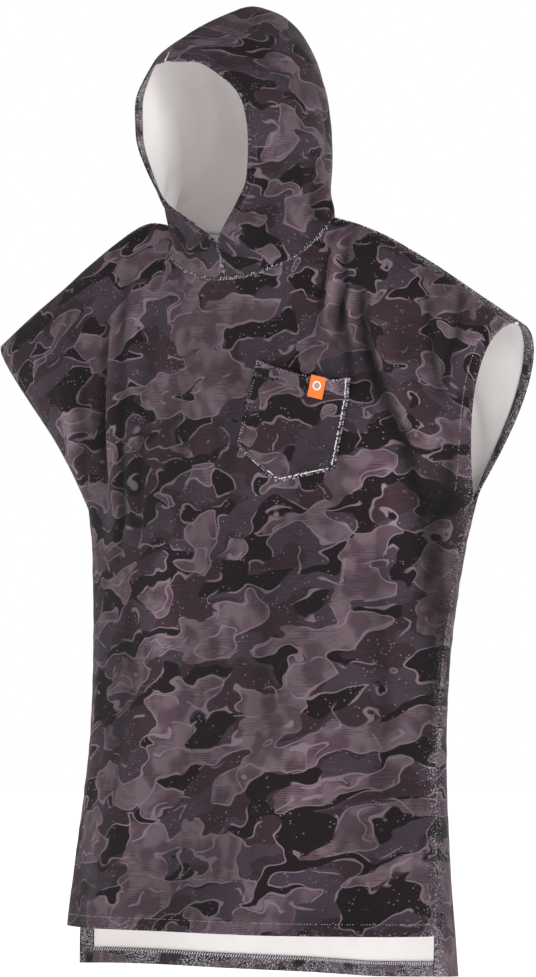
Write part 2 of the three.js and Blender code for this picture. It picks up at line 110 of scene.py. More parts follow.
# ----------------------------------------------
# Cloth surfaces and shells
# ----------------------------------------------


def unit(vectors: np.ndarray) -> np.ndarray:
    """Vectors made one long."""
    return vectors / np.maximum(np.linalg.norm(vectors, axis=-1, keepdims=True), 1e-12)


def grid_normals(points: np.ndarray, outward: Sequence[float]) -> np.ndarray:
    """Normals of a grid of points.

    Args:
        points: Rows and columns of points.
        outward: A direction that the middle normal has to agree with.

    Returns:
        For each point the mean direction of the faces round it, turned outwards.
    """
    across = points[1:, 1:] - points[:-1, :-1]
    other = points[:-1, 1:] - points[1:, :-1]
    faces = np.cross(across, other)
    normals = np.zeros_like(points)
    for rows in (slice(0, -1), slice(1, None)):
        for columns in (slice(0, -1), slice(1, None)):
            normals[rows, columns] += faces
    middle = normals[points.shape[0] // 2, points.shape[1] // 2]
    return unit(normals) * (-1 if np.dot(middle, outward) < 0 else 1)


def flat_cut(points: np.ndarray, zero_row: int, zero_column: int) -> np.ndarray:
    """The place of each point in the flat cut, measured along the cloth.

    Args:
        points: Rows and columns of points, in millimetres.
        zero_row: The row that heights are measured from, upwards.
        zero_column: The column that widths are measured from.

    Returns:
        Width and height in the cut, in metres.
    """
    def along(steps: np.ndarray, zero: int, axis: int) -> np.ndarray:
        """Lengths summed along an axis of the grid, from a zero line."""
        lengths = np.concatenate([np.zeros_like(steps.take([0], axis)), np.cumsum(steps, axis)], axis)
        return lengths - lengths.take([zero], axis)

    wide = along(np.linalg.norm(np.diff(points, axis=1), axis=-1), zero_column, 1)
    tall = -along(np.linalg.norm(np.diff(points, axis=0), axis=-1), zero_row, 0)
    return np.stack([wide, tall], -1) * MM


@dataclass
class Surface:
    """A face of cloth as a grid of points.

    Attributes:
        points: Rows and columns of points, in millimetres.
        normals: The outward direction at each point.
        flat: Each point's place in the flat cut, in metres.
        wear: How much pale pile shows at each point, from 0 to 1.
        relief: Hollows of folds, down to -1, and their crests, up to 1.
    """

    points: np.ndarray
    normals: np.ndarray
    flat: np.ndarray
    wear: np.ndarray
    relief: np.ndarray

    def moved(self, out: float) -> Surface:
        """The same face moved out along its normals."""
        return replace(self, points=self.points + self.normals * out)

    def part(self, rows: slice, columns: slice) -> Surface:
        """Some rows and columns of the face."""
        at = (rows, columns)
        return Surface(self.points[at], self.normals[at], self.flat[at], self.wear[at], self.relief[at])

    def line(self, rows: np.ndarray, columns: np.ndarray, out: float) -> Path:
        """Reads a line across the face.

        Args:
            rows: Row of each point of the line, with fractions.
            columns: Column of each point of the line, with fractions.
            out: How far the line lies out from the face, in millimetres.

        Returns:
            The line, with the face's direction at each point.
        """
        rows, columns = np.broadcast_arrays(np.asarray(rows, float), np.asarray(columns, float))
        i = np.clip(rows.astype(int), 0, self.points.shape[0] - 2)
        j = np.clip(columns.astype(int), 0, self.points.shape[1] - 2)
        s, t = (rows - i)[:, None], (columns - j)[:, None]

        def read(grid: np.ndarray) -> np.ndarray:
            """The grid's value between its points."""
            return mix(mix(grid[i, j], grid[i, j + 1], t), mix(grid[i + 1, j], grid[i + 1, j + 1], t), s)

        normals = unit(read(self.normals))
        return Path(read(self.points) + normals * out, normals)


@dataclass
class Path:
    """A line on cloth, which stitches follow: its points in millimetres, and the cloth's outward direction."""

    points: np.ndarray
    normals: np.ndarray

    def joined(self, other: Path) -> Path:
        """This line with another after it."""
        return Path(np.concatenate([self.points, other.points]), np.concatenate([self.normals, other.normals]))


def boundary(rows: int, columns: int) -> tuple[np.ndarray, np.ndarray]:
    """The points round the edge of a grid, once round.

    Args:
        rows: How many rows the grid has.
        columns: How many columns it has.

    Returns:
        The points' rows and their columns.
    """
    top = [(0, j) for j in range(columns)]
    right = [(i, columns - 1) for i in range(1, rows)]
    bottom = [(rows - 1, j) for j in range(columns - 2, -1, -1)]
    left = [(i, 0) for i in range(rows - 2, 0, -1)]
    loop = np.array(top + right + bottom + left)
    return loop[:, 0], loop[:, 1]


def make_piece(name: str, points: np.ndarray, faces: np.ndarray, finishes: Sequence[bpy.types.Material]) -> Any:
    """Makes an object at the origin, with its place in its mesh.

    Args:
        name: The piece's name.
        points: Its points, in millimetres.
        faces: Its faces, as rows of point numbers.
        finishes: Its materials.

    Returns:
        The object.
    """
    mesh = bpy.data.meshes.new(name)
    mesh.from_pydata((points * MM).tolist(), [], faces.tolist())
    for finish in finishes:
        mesh.materials.append(finish)
    mesh.polygons.foreach_set("use_smooth", np.ones(len(mesh.polygons), bool))
    piece = bpy.data.objects.new(name, mesh)
    bpy.context.scene.collection.objects.link(piece)
    return piece


def cloth_shell(
    name: str,
    outer: Surface,
    cloth: float,
    finishes: Sequence[bpy.types.Material],
    folded: np.ndarray | float = 1.0,
) -> Any:
    """Makes a closed shell of cloth behind a face.

    Args:
        name: The piece's name.
        outer: The cloth's outer face.
        cloth: Its thickness, in millimetres.
        finishes: Materials of the outside and, where there is a second, of the inside.
        folded: For each point of the grid, how round its free edge is: 1 for a fold, 0 at a seam.

    Returns:
        The object, with a map of the flat cut and the wear on it.
    """
    rows, columns = outer.points.shape[:2]
    count = rows * columns
    inner = outer.moved(-cloth)
    i, j = boundary(rows, columns)
    share = np.broadcast_to(np.asarray(folded, float), (rows, columns))[i, j][:, None]
    away = outer.points[i, j] - outer.points[np.clip(i, 1, rows - 2), np.clip(j, 1, columns - 2)]
    normal = outer.normals[i, j]
    away = unit(away - normal * np.sum(away * normal, -1, keepdims=True))
    rim_steps = 4
    rings = []
    for k in range(1, rim_steps):
        turn = math.pi * k / rim_steps
        deep = cloth / 2 * (1 - math.cos(turn))
        rings.append(outer.points[i, j] - normal * deep + away * share * (cloth / 2 * math.sin(turn)))
    points = np.concatenate([outer.points.reshape(-1, 3), inner.points.reshape(-1, 3), *rings])
    at = np.arange(count).reshape(rows, columns)
    quads = np.stack([at[:-1, :-1], at[1:, :-1], at[1:, 1:], at[:-1, 1:]], -1).reshape(-1, 4)
    edge = len(i)
    loops = [at[i, j], *[2 * count + k * edge + np.arange(edge) for k in range(rim_steps - 1)], at[i, j] + count]
    rim = [
        np.stack([near, far, np.roll(far, -1), np.roll(near, -1)], -1) for near, far in zip(loops[:-1], loops[1:])
    ]
    # Both faces are split along the same diagonals, so that neither cuts through the other in a steep fold
    faces = np.concatenate([quads, quads[:, [0, 3, 2, 1]] + count, *rim])
    first, second, third = (points[faces[:, k]] for k in range(3))
    fourth = points[faces[:, 3]]
    volume = np.sum(first * (np.cross(second, third) + np.cross(third, fourth)))
    if volume < 0:
        faces = faces[:, ::-1]
    piece = make_piece(name, points, faces, finishes)
    mesh = piece.data
    if len(finishes) > 1:
        inside = np.zeros(len(faces), np.int32)
        inside[len(quads): 2 * len(quads)] = 1
        # Where the edge isn't folded, the cloth's undyed back shows on all but the outermost of the rim
        inside[2 * len(quads) + edge:] = np.tile(share[:, 0] < 0.5, rim_steps - 1)
        mesh.polygons.foreach_set("material_index", inside)
    source = np.concatenate([at.ravel(), at.ravel(), *[at[i, j]] * (rim_steps - 1)])
    corner = np.empty(len(mesh.loops), np.int32)
    mesh.loops.foreach_get("vertex_index", corner)
    flat = mesh.uv_layers.new(name=FLAT_MAP)
    flat.data.foreach_set("uv", outer.flat.reshape(-1, 2)[source][corner].ravel())
    for attribute, grid in ((WEAR, outer.wear), (RELIEF, outer.relief)):
        mesh.attributes.new(attribute, "FLOAT", "POINT").data.foreach_set("value", grid.ravel()[source])
    mesh.set_sharp_from_angle(angle=math.radians(50))
    return piece


# ----------------------------------------------
# Finishes
# ----------------------------------------------

MATH = "ShaderNodeMath"
VECTOR_MATH = "ShaderNodeVectorMath"
MAP_RANGE = "ShaderNodeMapRange"
MIX = "ShaderNodeMix"
SPLIT = "ShaderNodeSeparateXYZ"
BUMP = "ShaderNodeBump"
SMOOTH = "SMOOTHSTEP"
MIXED = 2


def linear(colour: str) -> tuple[float, float, float, float]:
    """An sRGB hex colour as linear light.

    Args:
        colour: The colour, as a number sign and six digits.

    Returns:
        Red, green, blue and alpha.
    """
    values = [int(colour[k: k + 2], 16) / 255 for k in (1, 3, 5)]
    turned = [v / 12.92 if v <= 0.04045 else ((v + 0.055) / 1.055) ** 2.4 for v in values]
    return (turned[0], turned[1], turned[2], 1.0)


def add_node(tree: Any, kind: str, inputs: Any = (), output: Any = 0, **settings: Any) -> Any:
    """Adds a node to a tree, with its settings and links.

    Args:
        tree: The node tree.
        kind: The node's type.
        inputs: The socket linked to each input, or the input's value: in the inputs' order, or by name or number.
        output: The output that is wanted, by name or number.
        settings: Properties of the node.

    Returns:
        The output's socket, or nothing where the node has no output.
    """
    node = tree.nodes.new(kind)
    for name, value in settings.items():
        setattr(node, name, value)
    for key, value in inputs.items() if isinstance(inputs, dict) else enumerate(inputs):
        if isinstance(value, bpy.types.NodeSocket):
            tree.links.new(value, node.inputs[key])
        else:
            node.inputs[key].default_value = value
    return node.outputs[output] if len(node.outputs) else None


@dataclass
class Recipe:
    """A material that is being made, with the patterns that more than one finish is drawn from.

    Attributes:
        name: The material's name.
        material: The material.
        add: Adds a node to the material's tree.
    """

    name: str
    material: Any = field(init=False)
    add: Callable[..., Any] = field(init=False)

    def __post_init__(self) -> None:
        """Starts the material with an empty tree."""
        self.material = bpy.data.materials.new(self.name)
        self.material.use_nodes = True
        self.material.node_tree.nodes.clear()
        self.add = partial(add_node, self.material.node_tree)

    def flat_millimetres(self) -> Any:
        """The cloth's flat cut in millimetres, as a vector."""
        place = self.add("ShaderNodeUVMap", uv_map=FLAT_MAP)
        return self.add(VECTOR_MATH, (place, (1000, 1000, 1000)), operation="MULTIPLY")

    def in_motifs(self, place: Any, wide: float, tall: float, shift: float, lean: float = 0.0) -> Any:
        """A place measured in motifs, which may lean.

        Args:
            place: The place, in millimetres.
            wide: A motif's width, in millimetres.
            tall: Its height.
            shift: How far the pattern is moved, in motifs.
            lean: How far the motifs rise to the side, in degrees.

        Returns:
            The socket that gives the place.
        """
        if lean:
            place = self.add("ShaderNodeVectorRotate", {"Vector": place, "Angle": -math.radians(lean)})
        return self.add(
            VECTOR_MATH,
            (place, (1 / wide, 1 / tall, 1 / tall), (shift, shift * 1.7, shift * 0.6)),
            operation="MULTIPLY_ADD",
        )

    def field(
        self,
        place: Any,
        wide: float,
        tall: float,
        shift: float = 0.0,
        detail: float = 0.0,
        rough: float = 0.5,
        lean: float = 0.0,
        output: str = "Fac",
    ) -> Any:
        """A soft uneven field with motifs of a real size.

        Args:
            place: The place, in millimetres.
            wide: A motif's width, in millimetres.
            tall: Its height.
            shift: How far the pattern is moved, in motifs.
            detail: How many finer fields lie on it.
            rough: How strong the finer ones are.
            lean: How far the motifs rise to the side, in degrees.
            output: Whether it is a value or a colour.

        Returns:
            The socket that gives the field, with a middle of a half.
        """
        motifs = self.in_motifs(place, wide, tall, shift, lean)
        inputs = {"Vector": motifs, "Scale": 1.0, "Detail": detail, "Roughness": rough}
        return self.add("ShaderNodeTexNoise", inputs, output)

    def patches(
        self, place: Any, size: tuple[float, float], shift: float, edge: tuple[float, float], detail: float = 0.0
    ) -> Any:
        """Patches where an uneven field rises past an edge.

        Args:
            place: The place, in millimetres.
            size: A patch's width and height, in millimetres.
            shift: How far the pattern is moved, in motifs.
            edge: Where the patches start, and where they are whole.
            detail: How many finer fields lie on the field.

        Returns:
            The socket that gives the patches' share, from 0 to 1.
        """
        uneven = self.field(place, size[0], size[1], shift, detail)
        return self.add(MAP_RANGE, (uneven, *edge), interpolation_type=SMOOTH)

    def contour(
        self, place: Any, size: tuple[float, float], shift: float, lean: float, level: float, half: float
    ) -> Any:
        """A line of even width along the edge of a motif.

        The field is read again a little to the side and above, so that the line is as wide where it changes slowly.

        Args:
            place: The place, in millimetres.
            size: A motif's width and height, in millimetres.
            shift: How far the pattern is moved, in motifs.
            lean: How far the motifs rise to the side, in degrees.
            level: The field's value on the line.
            half: Half the line's width, in millimetres.

        Returns:
            The socket that gives the line's share, from 0 to 1.
        """
        reach = 2.0
        here, beside, above = (
            self.field(
                self.add(VECTOR_MATH, (place, step), operation="ADD"), size[0], size[1], shift, 0.3, lean=lean
            )
            for step in ((0, 0, 0), (reach, 0, 0), (0, reach, 0))
        )
        slope_x, slope_y, off = (
            self.add(MATH, (self.add(MATH, (value, other), operation="SUBTRACT"),), operation="ABSOLUTE")
            for value, other in ((beside, here), (above, here), (here, level))
        )
        slope = self.add(MATH, (slope_x, slope_y), operation="ADD")
        wide = self.add(MATH, (slope, 0.8 * half / reach, 0.0006), operation="MULTIPLY_ADD")
        share = self.add(MATH, (off, wide), operation="DIVIDE")
        return self.add(MAP_RANGE, (share, 0.7, 1.3, 1.0, 0.0), interpolation_type=SMOOTH)

    def ribs(self, along: Any, pitch: float) -> Any:
        """Even ribs a pitch apart along a length, from -1 to 1."""
        turns = self.add(MATH, (along, 2 * math.pi / pitch), operation="MULTIPLY")
        return self.add(MATH, (turns,), operation="SINE")

    def layered(self, colour: Any, *layers: tuple[Any, Any]) -> Any:
        """A colour with others laid over it.

        Args:
            colour: The lowest colour.
            layers: For each colour over it, its share and the colour.

        Returns:
            The socket that gives the mixed colour.
        """
        for share, over in layers:
            colour = self.add(MIX, {0: share, 6: colour, 7: over}, MIXED, data_type="RGBA")
        return colour

    def dressed(self, shader_inputs: dict[str, Any]) -> Any:
        """Ends the recipe in one shader.

        Args:
            shader_inputs: The shader's inputs by name.

        Returns:
            The material.
        """
        shader = self.add("ShaderNodeBsdfPrincipled", shader_inputs)
        self.add("ShaderNodeOutputMaterial", {"Surface": shader})
        return self.material


@dataclass(frozen=True)
class TerryWeave:
    """Relief of terry: crosswise ribs of the ground and the short sheared pile between them, in millimetres.

    The real rib is about 1.6 mm. It is drawn at 2.2 mm, because a finer one doesn't show.
    """

    rib: float = 2.2
    pile: float = 1.3
    strength: float = 0.55
    depth: float = 0.5

    def relief(self, r: Recipe, place: Any) -> Any:
        """The weave's relief at a place of the flat cut.

        Args:
            r: The material that is being made.
            place: The place in millimetres.

        Returns:
            The socket that gives the bumped normal.
        """
        height = r.add(SPLIT, (place,), "Y")
        wobble = r.field(place, 9, 5, detail=1)
        tall = r.add(MATH, (wobble, 1.6, height), operation="MULTIPLY_ADD")
        pile = r.field(place, self.pile, self.pile * 0.7, detail=2)
        woven = r.add(MATH, (r.ribs(tall, self.rib), 0.22, pile), operation="MULTIPLY_ADD")
        return r.add(
            BUMP, {"Strength": self.strength, "Distance": self.depth * MM, "Height": woven}
        )


@dataclass(frozen=True)
class PrintedTerry:
    """Cotton velour terry with a dyed camouflage print: matt and dark, with a faint bloom of pale pile.

    The print is a plain camouflage of purplish greys. Each tone is an uneven field with a sharp edge, laid over the
    one below. Wavy pale lines follow some edges, and small dots and fine crosswise dashes fill others.
    """

    name: str = "printed_cotton_terry"
    dark: str = "#10070a"
    ground: str = "#2b1d23"
    slate: str = "#342a33"
    rose: str = "#44343c"
    mauve: str = "#5a4b52"
    line: str = "#6f5f68"
    fleck: str = "#b2aeb6"
    motif_wide: float = 80.0
    motif_tall: float = 42.0
    lean: float = 14.0
    dot_pitch: float = 6.4
    dash_pitch: float = 3.4
    line_half: float = 1.5
    weave: TerryWeave = TerryWeave()

    def motif(self, scale: float) -> tuple[float, float]:
        """A motif's width and height at a scale."""
        return self.motif_wide * scale, self.motif_tall * scale

    def _tones(self, r: Recipe, place: Any, bent: Any) -> tuple[Any, Any]:
        """Lays the print's flat tones.

        Args:
            r: The material that is being made.
            place: The place in millimetres.
            bent: The place with the motifs' bends.

        Returns:
            The colour, and the share of the palest tone.
        """
        slate, mauve, dark = (
            r.field(bent, *self.motif(size), shift, 0.3, lean=self.lean)
            for size, shift in ((1.2, 0.0), (1.0, 17.3), (0.95, 41.9))
        )
        slate_step, mauve_step, dark_step = (
            r.add(MAP_RANGE, (value, low, low + 0.007), interpolation_type=SMOOTH)
            for value, low in ((slate, 0.5), (mauve, 0.55), (dark, 0.545))
        )
        two_tone = r.layered(linear(self.mauve), (r.patches(place, (34, 40), 3.3, (0.4, 0.6), 1), linear(self.rose)))
        colour = r.layered(
            linear(self.ground),
            (slate_step, linear(self.slate)),
            (dark_step, linear(self.dark)),
            (mauve_step, two_tone),
        )
        return colour, mauve_step

    def _drawing(self, r: Recipe, place: Any, bent: Any, pale: Any) -> list[tuple[Any, Any]]:
        """The fine drawing on the tones: dashes, wavy outlines and clusters of dots.

        Args:
            r: The material that is being made.
            place: The place in millimetres.
            bent: The place with the motifs' bends.
            pale: The share of the palest tone, which has no dots.

        Returns:
            Layers of share and colour.
        """
        rows = r.ribs(r.add(SPLIT, (place,), "Y"), self.dash_pitch)
        dashes = r.add(MAP_RANGE, (rows, 0.2, 0.8, 0.0, 0.55), interpolation_type=SMOOTH)
        for size, shift, edge in (((18, 3), 8.8, (0.44, 0.5)), ((42, 28), 9.4, (0.48, 0.54))):
            dashes = r.add(MATH, (dashes, r.patches(place, size, shift, edge)), operation="MULTIPLY")
        outlines = 0.0
        for size, shift, level, chosen in (
            (1.0, 17.3, 0.543, (0.34, 0.42)), (0.95, 41.9, 0.536, (0.47, 0.53)), (1.15, 71.2, 0.5, (0.42, 0.36)),
        ):
            line = r.contour(bent, self.motif(size), shift, self.lean, level, self.line_half)
            where = r.patches(place, (60, 45), 5.1, chosen)
            line = r.add(MATH, (line, where), operation="MULTIPLY")
            outlines = r.add(MATH, (outlines, line), operation="MAXIMUM")
        outlines = r.add(MATH, (outlines, 0.8), operation="MULTIPLY")
        cells = r.add(
            "ShaderNodeTexVoronoi",
            {
                "Vector": r.in_motifs(place, self.dot_pitch, self.dot_pitch * 0.8, 0.0),
                "Scale": 1.0,
                "Randomness": 0.75,
            },
            "Distance",
        )
        dots = r.add(MAP_RANGE, (cells, 0.2, 0.28, 0.75, 0.0), interpolation_type=SMOOTH)
        bare = r.add(MATH, (1.0, pale), operation="SUBTRACT")
        for share in (r.patches(place, (26, 18), 6.2, (0.53, 0.56)), bare):
            dots = r.add(MATH, (dots, share), operation="MULTIPLY")
        return [(dashes, linear(self.dark)), (outlines, linear(self.line)), (dots, linear(self.line))]

    def _pile(self, r: Recipe, place: Any, speck: Any) -> list[tuple[Any, Any]]:
        """Pale pile that comes through the dye, more of it along seams and edges, where it is rubbed.

        Args:
            r: The material that is being made.
            place: The place in millimetres.
            speck: The pile's fine unevenness.

        Returns:
            Layers of share and colour.
        """
        wear = r.add("ShaderNodeAttribute", (), "Fac", attribute_name=WEAR)
        bloom = r.patches(place, (70, 90), 1.3, (0.5, 0.75), 2)
        low = r.add(MATH, (bloom, -0.06, 0.74), operation="MULTIPLY_ADD")
        low = r.add(MATH, (wear, -0.22, low), operation="MULTIPLY_ADD")
        high = r.add(MATH, (low, 0.06), operation="ADD")
        flecks = r.add(MAP_RANGE, (speck, low, high, 0.0, 0.75), interpolation_type=SMOOTH)
        rubbed = r.add(MATH, (r.patches(place, (5, 4), 6.6, (0.4, 0.55), 1), wear), operation="MULTIPLY")
        pressed = r.add(MATH, (rubbed, 0.6), operation="MULTIPLY")
        worn = r.layered(linear(self.dark), (flecks, linear(self.fleck)))
        return [(flecks, linear(self.fleck)), (pressed, worn)]

    def make(self) -> Any:
        """Makes the material.

        Returns:
            The material.
        """
        r = Recipe(self.name)
        place = r.flat_millimetres()
        bend = r.field(place, 62, 44, detail=1, output="Color")
        bent = r.add(VECTOR_MATH, (bend, (100, 66, 0), place), operation="MULTIPLY_ADD")
        colour, pale = self._tones(r, place, bent)
        speck = r.field(place, 2.6, 2.0, 2.2, 2, 0.7)
        colour = r.layered(colour, *self._drawing(r, place, bent, pale), *self._pile(r, place, speck))
        # Cloudy dye, and pile that lies darker in the hollows of folds than on their crests
        cloudy = r.add(
            MAP_RANGE, (r.field(place, 110, 150, 4.4, 2), 0.3, 0.7, 0.8, 1.16), interpolation_type=SMOOTH
        )
        relief = r.add("ShaderNodeAttribute", (), "Fac", attribute_name=RELIEF)
        shade = r.add(MATH, (r.add(MATH, (relief, 0.72, 1.0), operation="MULTIPLY_ADD"), cloudy), operation="MULTIPLY")
        colour = r.add(MIX, {0: 1.0, 6: colour, 7: shade}, MIXED, data_type="RGBA", blend_type="MULTIPLY")
        return r.dressed(
            {
                "Base Color": colour,
                "Roughness": r.add(MATH, (speck, 0.16, 0.8), operation="MULTIPLY_ADD"),
                "Normal": self.weave.relief(r, place),
                "Specular IOR Level": 0.25,
                "Sheen Weight": 0.06,
                "Sheen Roughness": 0.45,
                "Sheen Tint": linear("#c9bcc6"),
            }
        )


@dataclass(frozen=True)
class UndyedTerry:
    """The undyed inside of the terry: soft off-white cotton with a faint grid of its ground weave."""

    name: str = "undyed_cotton_terry"
    pale: str = "#f2eeed"
    shade: str = "#dbd6d5"
    yarn: float = 2.4

    def make(self) -> Any:
        """Makes the material.

        Returns:
            The material.
        """
        r = Recipe(self.name)
        place = r.flat_millimetres()
        wobble = r.field(place, 12, 12, detail=1)
        grid = 0.5
        for axis in ("X", "Y"):
            length = r.add(MATH, (wobble, 1.5, r.add(SPLIT, (place,), axis)), operation="MULTIPLY_ADD")
            grid = r.add(MATH, (r.ribs(length, self.yarn), 0.25, grid), operation="MULTIPLY_ADD")
        cloudy = r.add(MATH, (r.field(place, 40, 60, 2.0, 2), 0.5), operation="MULTIPLY")
        share = r.add(MATH, (grid, 0.4, cloudy), operation="MULTIPLY_ADD")
        pile = r.field(place, 1.5, 1.5, 1.0, 2)
        height = r.add(MATH, (grid, 0.3, pile), operation="MULTIPLY_ADD")
        return r.dressed(
            {
                "Base Color": r.layered(linear(self.pale), (share, linear(self.shade))),
                "Roughness": r.add(MATH, (pile, 0.1, 0.85), operation="MULTIPLY_ADD"),
                "Normal": r.add(BUMP, {"Strength": 0.4, "Distance": 0.4 * MM, "Height": height}),
                "Specular IOR Level": 0.2,
                "Sheen Weight": 0.1,
                "Sheen Roughness": 0.5,
            }
        )


@dataclass(frozen=True)
class PrintedHem:
    """The print where an edge is turned in: its pile is crushed, so black and white specks break it up."""

    name: str = "turned_printed_terry"
    dark: str = "#140e12"
    ground: str = "#332830"
    mauve: str = "#55454f"
    fleck: str = "#b4b1b9"
    weave: TerryWeave = TerryWeave(strength=0.8, depth=0.7)

    def make(self) -> Any:
        """Makes the material.

        Returns:
            The material.
        """
        r = Recipe(self.name)
        place = r.flat_millimetres()
        speck = r.field(place, 2.6, 1.9, 7.0, 2, 0.75)
        crushed, pale = (
            r.add(MAP_RANGE, (speck, *edge), interpolation_type=SMOOTH)
            for edge in ((0.4, 0.32), (0.51, 0.6, 0.0, 0.95))
        )
        pale = r.add(MATH, (pale, r.patches(place, (26, 40), 1.7, (0.34, 0.54), 1)), operation="MULTIPLY")
        colour = r.layered(
            linear(self.dark),
            (r.patches(place, (44, 22), 3.0, (0.47, 0.49), 1), linear(self.ground)),
            (r.patches(place, (52, 24), 5.5, (0.53, 0.55), 1), linear(self.mauve)),
            (crushed, linear(self.dark)),
            (pale, linear(self.fleck)),
        )
        return r.dressed(
            {
                "Base Color": colour,
                "Roughness": r.add(MATH, (speck, 0.1, 0.82), operation="MULTIPLY_ADD"),
                "Normal": self.weave.relief(r, place),
                "Specular IOR Level": 0.3,
                "Sheen Weight": 0.15,
                "Sheen Roughness": 0.45,
            }
        )


@dataclass(frozen=True)
class SewingThread:
    """Spun polyester sewing thread: a slight gloss, and darker between its turned plies."""

    name: str
    colour: str
    shade: str
    ply: float = 0.9

    def make(self) -> Any:
        """Makes the material.

        Returns:
            The material.
        """
        r = Recipe(self.name)
        place = r.add("ShaderNodeTexCoord", (), "Object")
        millimetres = r.add(VECTOR_MATH, (place, (1000, 1000, 1000)), operation="MULTIPLY")
        fibre = r.field(millimetres, self.ply, self.ply, detail=1)
        lit = r.add(MAP_RANGE, (fibre, 0.35, 0.6), interpolation_type=SMOOTH)
        return r.dressed(
            {
                "Base Color": r.layered(linear(self.shade), (lit, linear(self.colour))),
                "Roughness": r.add(MATH, (fibre, 0.2, 0.5), operation="MULTIPLY_ADD"),
                "Normal": r.add(BUMP, {"Strength": 0.5, "Distance": 0.15 * MM, "Height": fibre}),
                "Sheen Weight": 0.1,
            }
        )


@dataclass(frozen=True)
class WovenTab:
    """Damask-woven polyester label: satin orange with a plain pale ring woven in, and cut edges folded under."""

    name: str = "woven_satin_tab"
    orange: str = "#ea7418"
    deep: str = "#c8560e"
    pale: str = "#e9e4de"
    grey: str = "#8f8a88"
    ring: float = 6.6
    ring_wide: float = 1.7
    yarn: float = 0.8

    def make(self) -> Any:
        """Makes the material.

        Returns:
            The material.
        """
        r = Recipe(self.name)
        place = r.flat_millimetres()
        across, down = (r.ribs(r.add(SPLIT, (place,), axis), self.yarn) for axis in ("X", "Y"))
        crossed = r.add(MATH, (across, down), operation="MULTIPLY")
        weave = r.add(MATH, (crossed, 0.25, 0.25), operation="MULTIPLY_ADD")
        apart = r.add(VECTOR_MATH, (place,), "Value", operation="LENGTH")
        disc, outer, inner = (
            r.add(MAP_RANGE, (apart, reach + 0.3, reach - 0.3), interpolation_type=SMOOTH)
            for reach in (self.ring, self.ring + 0.1, self.ring - self.ring_wide)
        )
        ring = r.add(MATH, (outer, inner), operation="SUBTRACT")
        colour = r.layered(
            linear(self.orange),
            (weave, linear(self.deep)),
            (r.add(MATH, (disc, 0.85), operation="MULTIPLY"), linear(self.grey)),
            (ring, linear(self.pale)),
        )
        height = r.add(MATH, (disc, 0.6, weave), operation="MULTIPLY_ADD")
        return r.dressed(
            {
                "Base Color": colour,
                "Roughness": r.add(MATH, (weave, 0.3, 0.42), operation="MULTIPLY_ADD"),
                "Normal": r.add(BUMP, {"Strength": 0.5, "Distance": 0.25 * MM, "Height": height}),
                "Sheen Weight": 0.1,
            }
        )


@dataclass(frozen=True)
class PaperBackdrop:
    """Seamless white studio paper, lit from below so that it stays white: matt, with a very faint grain."""

    name: str = "white_studio_paper"
    colour: str = "#fdfdfd"
    glow: float = 0.62

    def make(self) -> Any:
        """Makes the material.

        Returns:
            The material.
        """
        r = Recipe(self.name)
        place = r.add("ShaderNodeTexCoord", (), "Object")
        grain = r.add(MATH, (r.field(place, 0.05, 0.05, detail=2), 0.02), operation="MULTIPLY")
        return r.dressed(
            {
                "Base Color": r.layered(linear(self.colour), (grain, linear("#f2f2f2"))),
                "Roughness": 0.95,
                "Specular IOR Level": 0.1,
                "Emission Color": (1.0, 1.0, 1.0, 1.0),
                "Emission Strength": self.glow,
            }
        )


@dataclass
class Wardrobe:
    """Every finish of the poncho, made once."""

    printed: Any = field(default_factory=lambda: PrintedTerry().make())
    undyed: Any = field(default_factory=lambda: UndyedTerry().make())
    hem: Any = field(default_factory=lambda: PrintedHem().make())
    white: Any = field(default_factory=lambda: SewingThread("white_thread", "#dcdbe0", "#a5a3ab").make())
    black: Any = field(default_factory=lambda: SewingThread("black_thread", "#1b181d", "#0d0b0e").make())
    silver: Any = field(default_factory=lambda: SewingThread("pale_grey_thread", "#b3b0b6", "#6d6a72").make())
    grey: Any = field(default_factory=lambda: SewingThread("mauve_thread", "#7d737a", "#4f464d").make())
    tab: Any = field(default_factory=lambda: WovenTab().make())


# ----------------------------------------------
# Sewing
# ----------------------------------------------


class Stitch(Enum):
    """Kinds of stitch: pitch, length, width, slant in degrees, unevenness, how far they stray, and how many show."""

    TOPSTITCH = (4.2, 2.6, 0.9, 0.0, 0.5, 0.2, 0.8)
    HEAVY = (3.0, 4.4, 2.1, 8.0, 0.8, 0.5, 0.86)
    TWISTED = (3.8, 5.4, 1.9, 36.0, 1.0, 0.6, 0.82)
    CORD = (2.6, 5.0, 2.6, 36.0, 0.5, 0.3, 1.0)
    FLECK = (2.2, 1.8, 0.8, 0.0, 4.0, 2.2, 0.36)
    OVERLOCK = (2.6, 5.0, 2.4, 70.0, 0.3, 0.1, 1.0)
    HATCH = (4.0, 7.6, 1.7, 62.0, 0.2, 0.1, 1.0)
    LOOSE = (6.0, 3.2, 0.8, 10.0, 1.6, 0.8, 0.5)

    def __init__(
        self, pitch: float, length: float, width: float, slant: float, uneven: float, stray: float, kept: float
    ) -> None:
        """Keeps the stitch's sizes, in millimetres.

        Args:
            pitch: The distance from one stitch to the next.
            length: A stitch's length.
            width: Its width.
            slant: Its turn from the path, in degrees.
            uneven: How much the pitch varies.
            stray: How far stitches lie off the path.
            kept: The share of stitches that show.
        """
        self.pitch = pitch
        self.length = length
        self.width = width
        self.slant = math.radians(slant)
        self.uneven = uneven
        self.stray = stray
        self.kept = kept


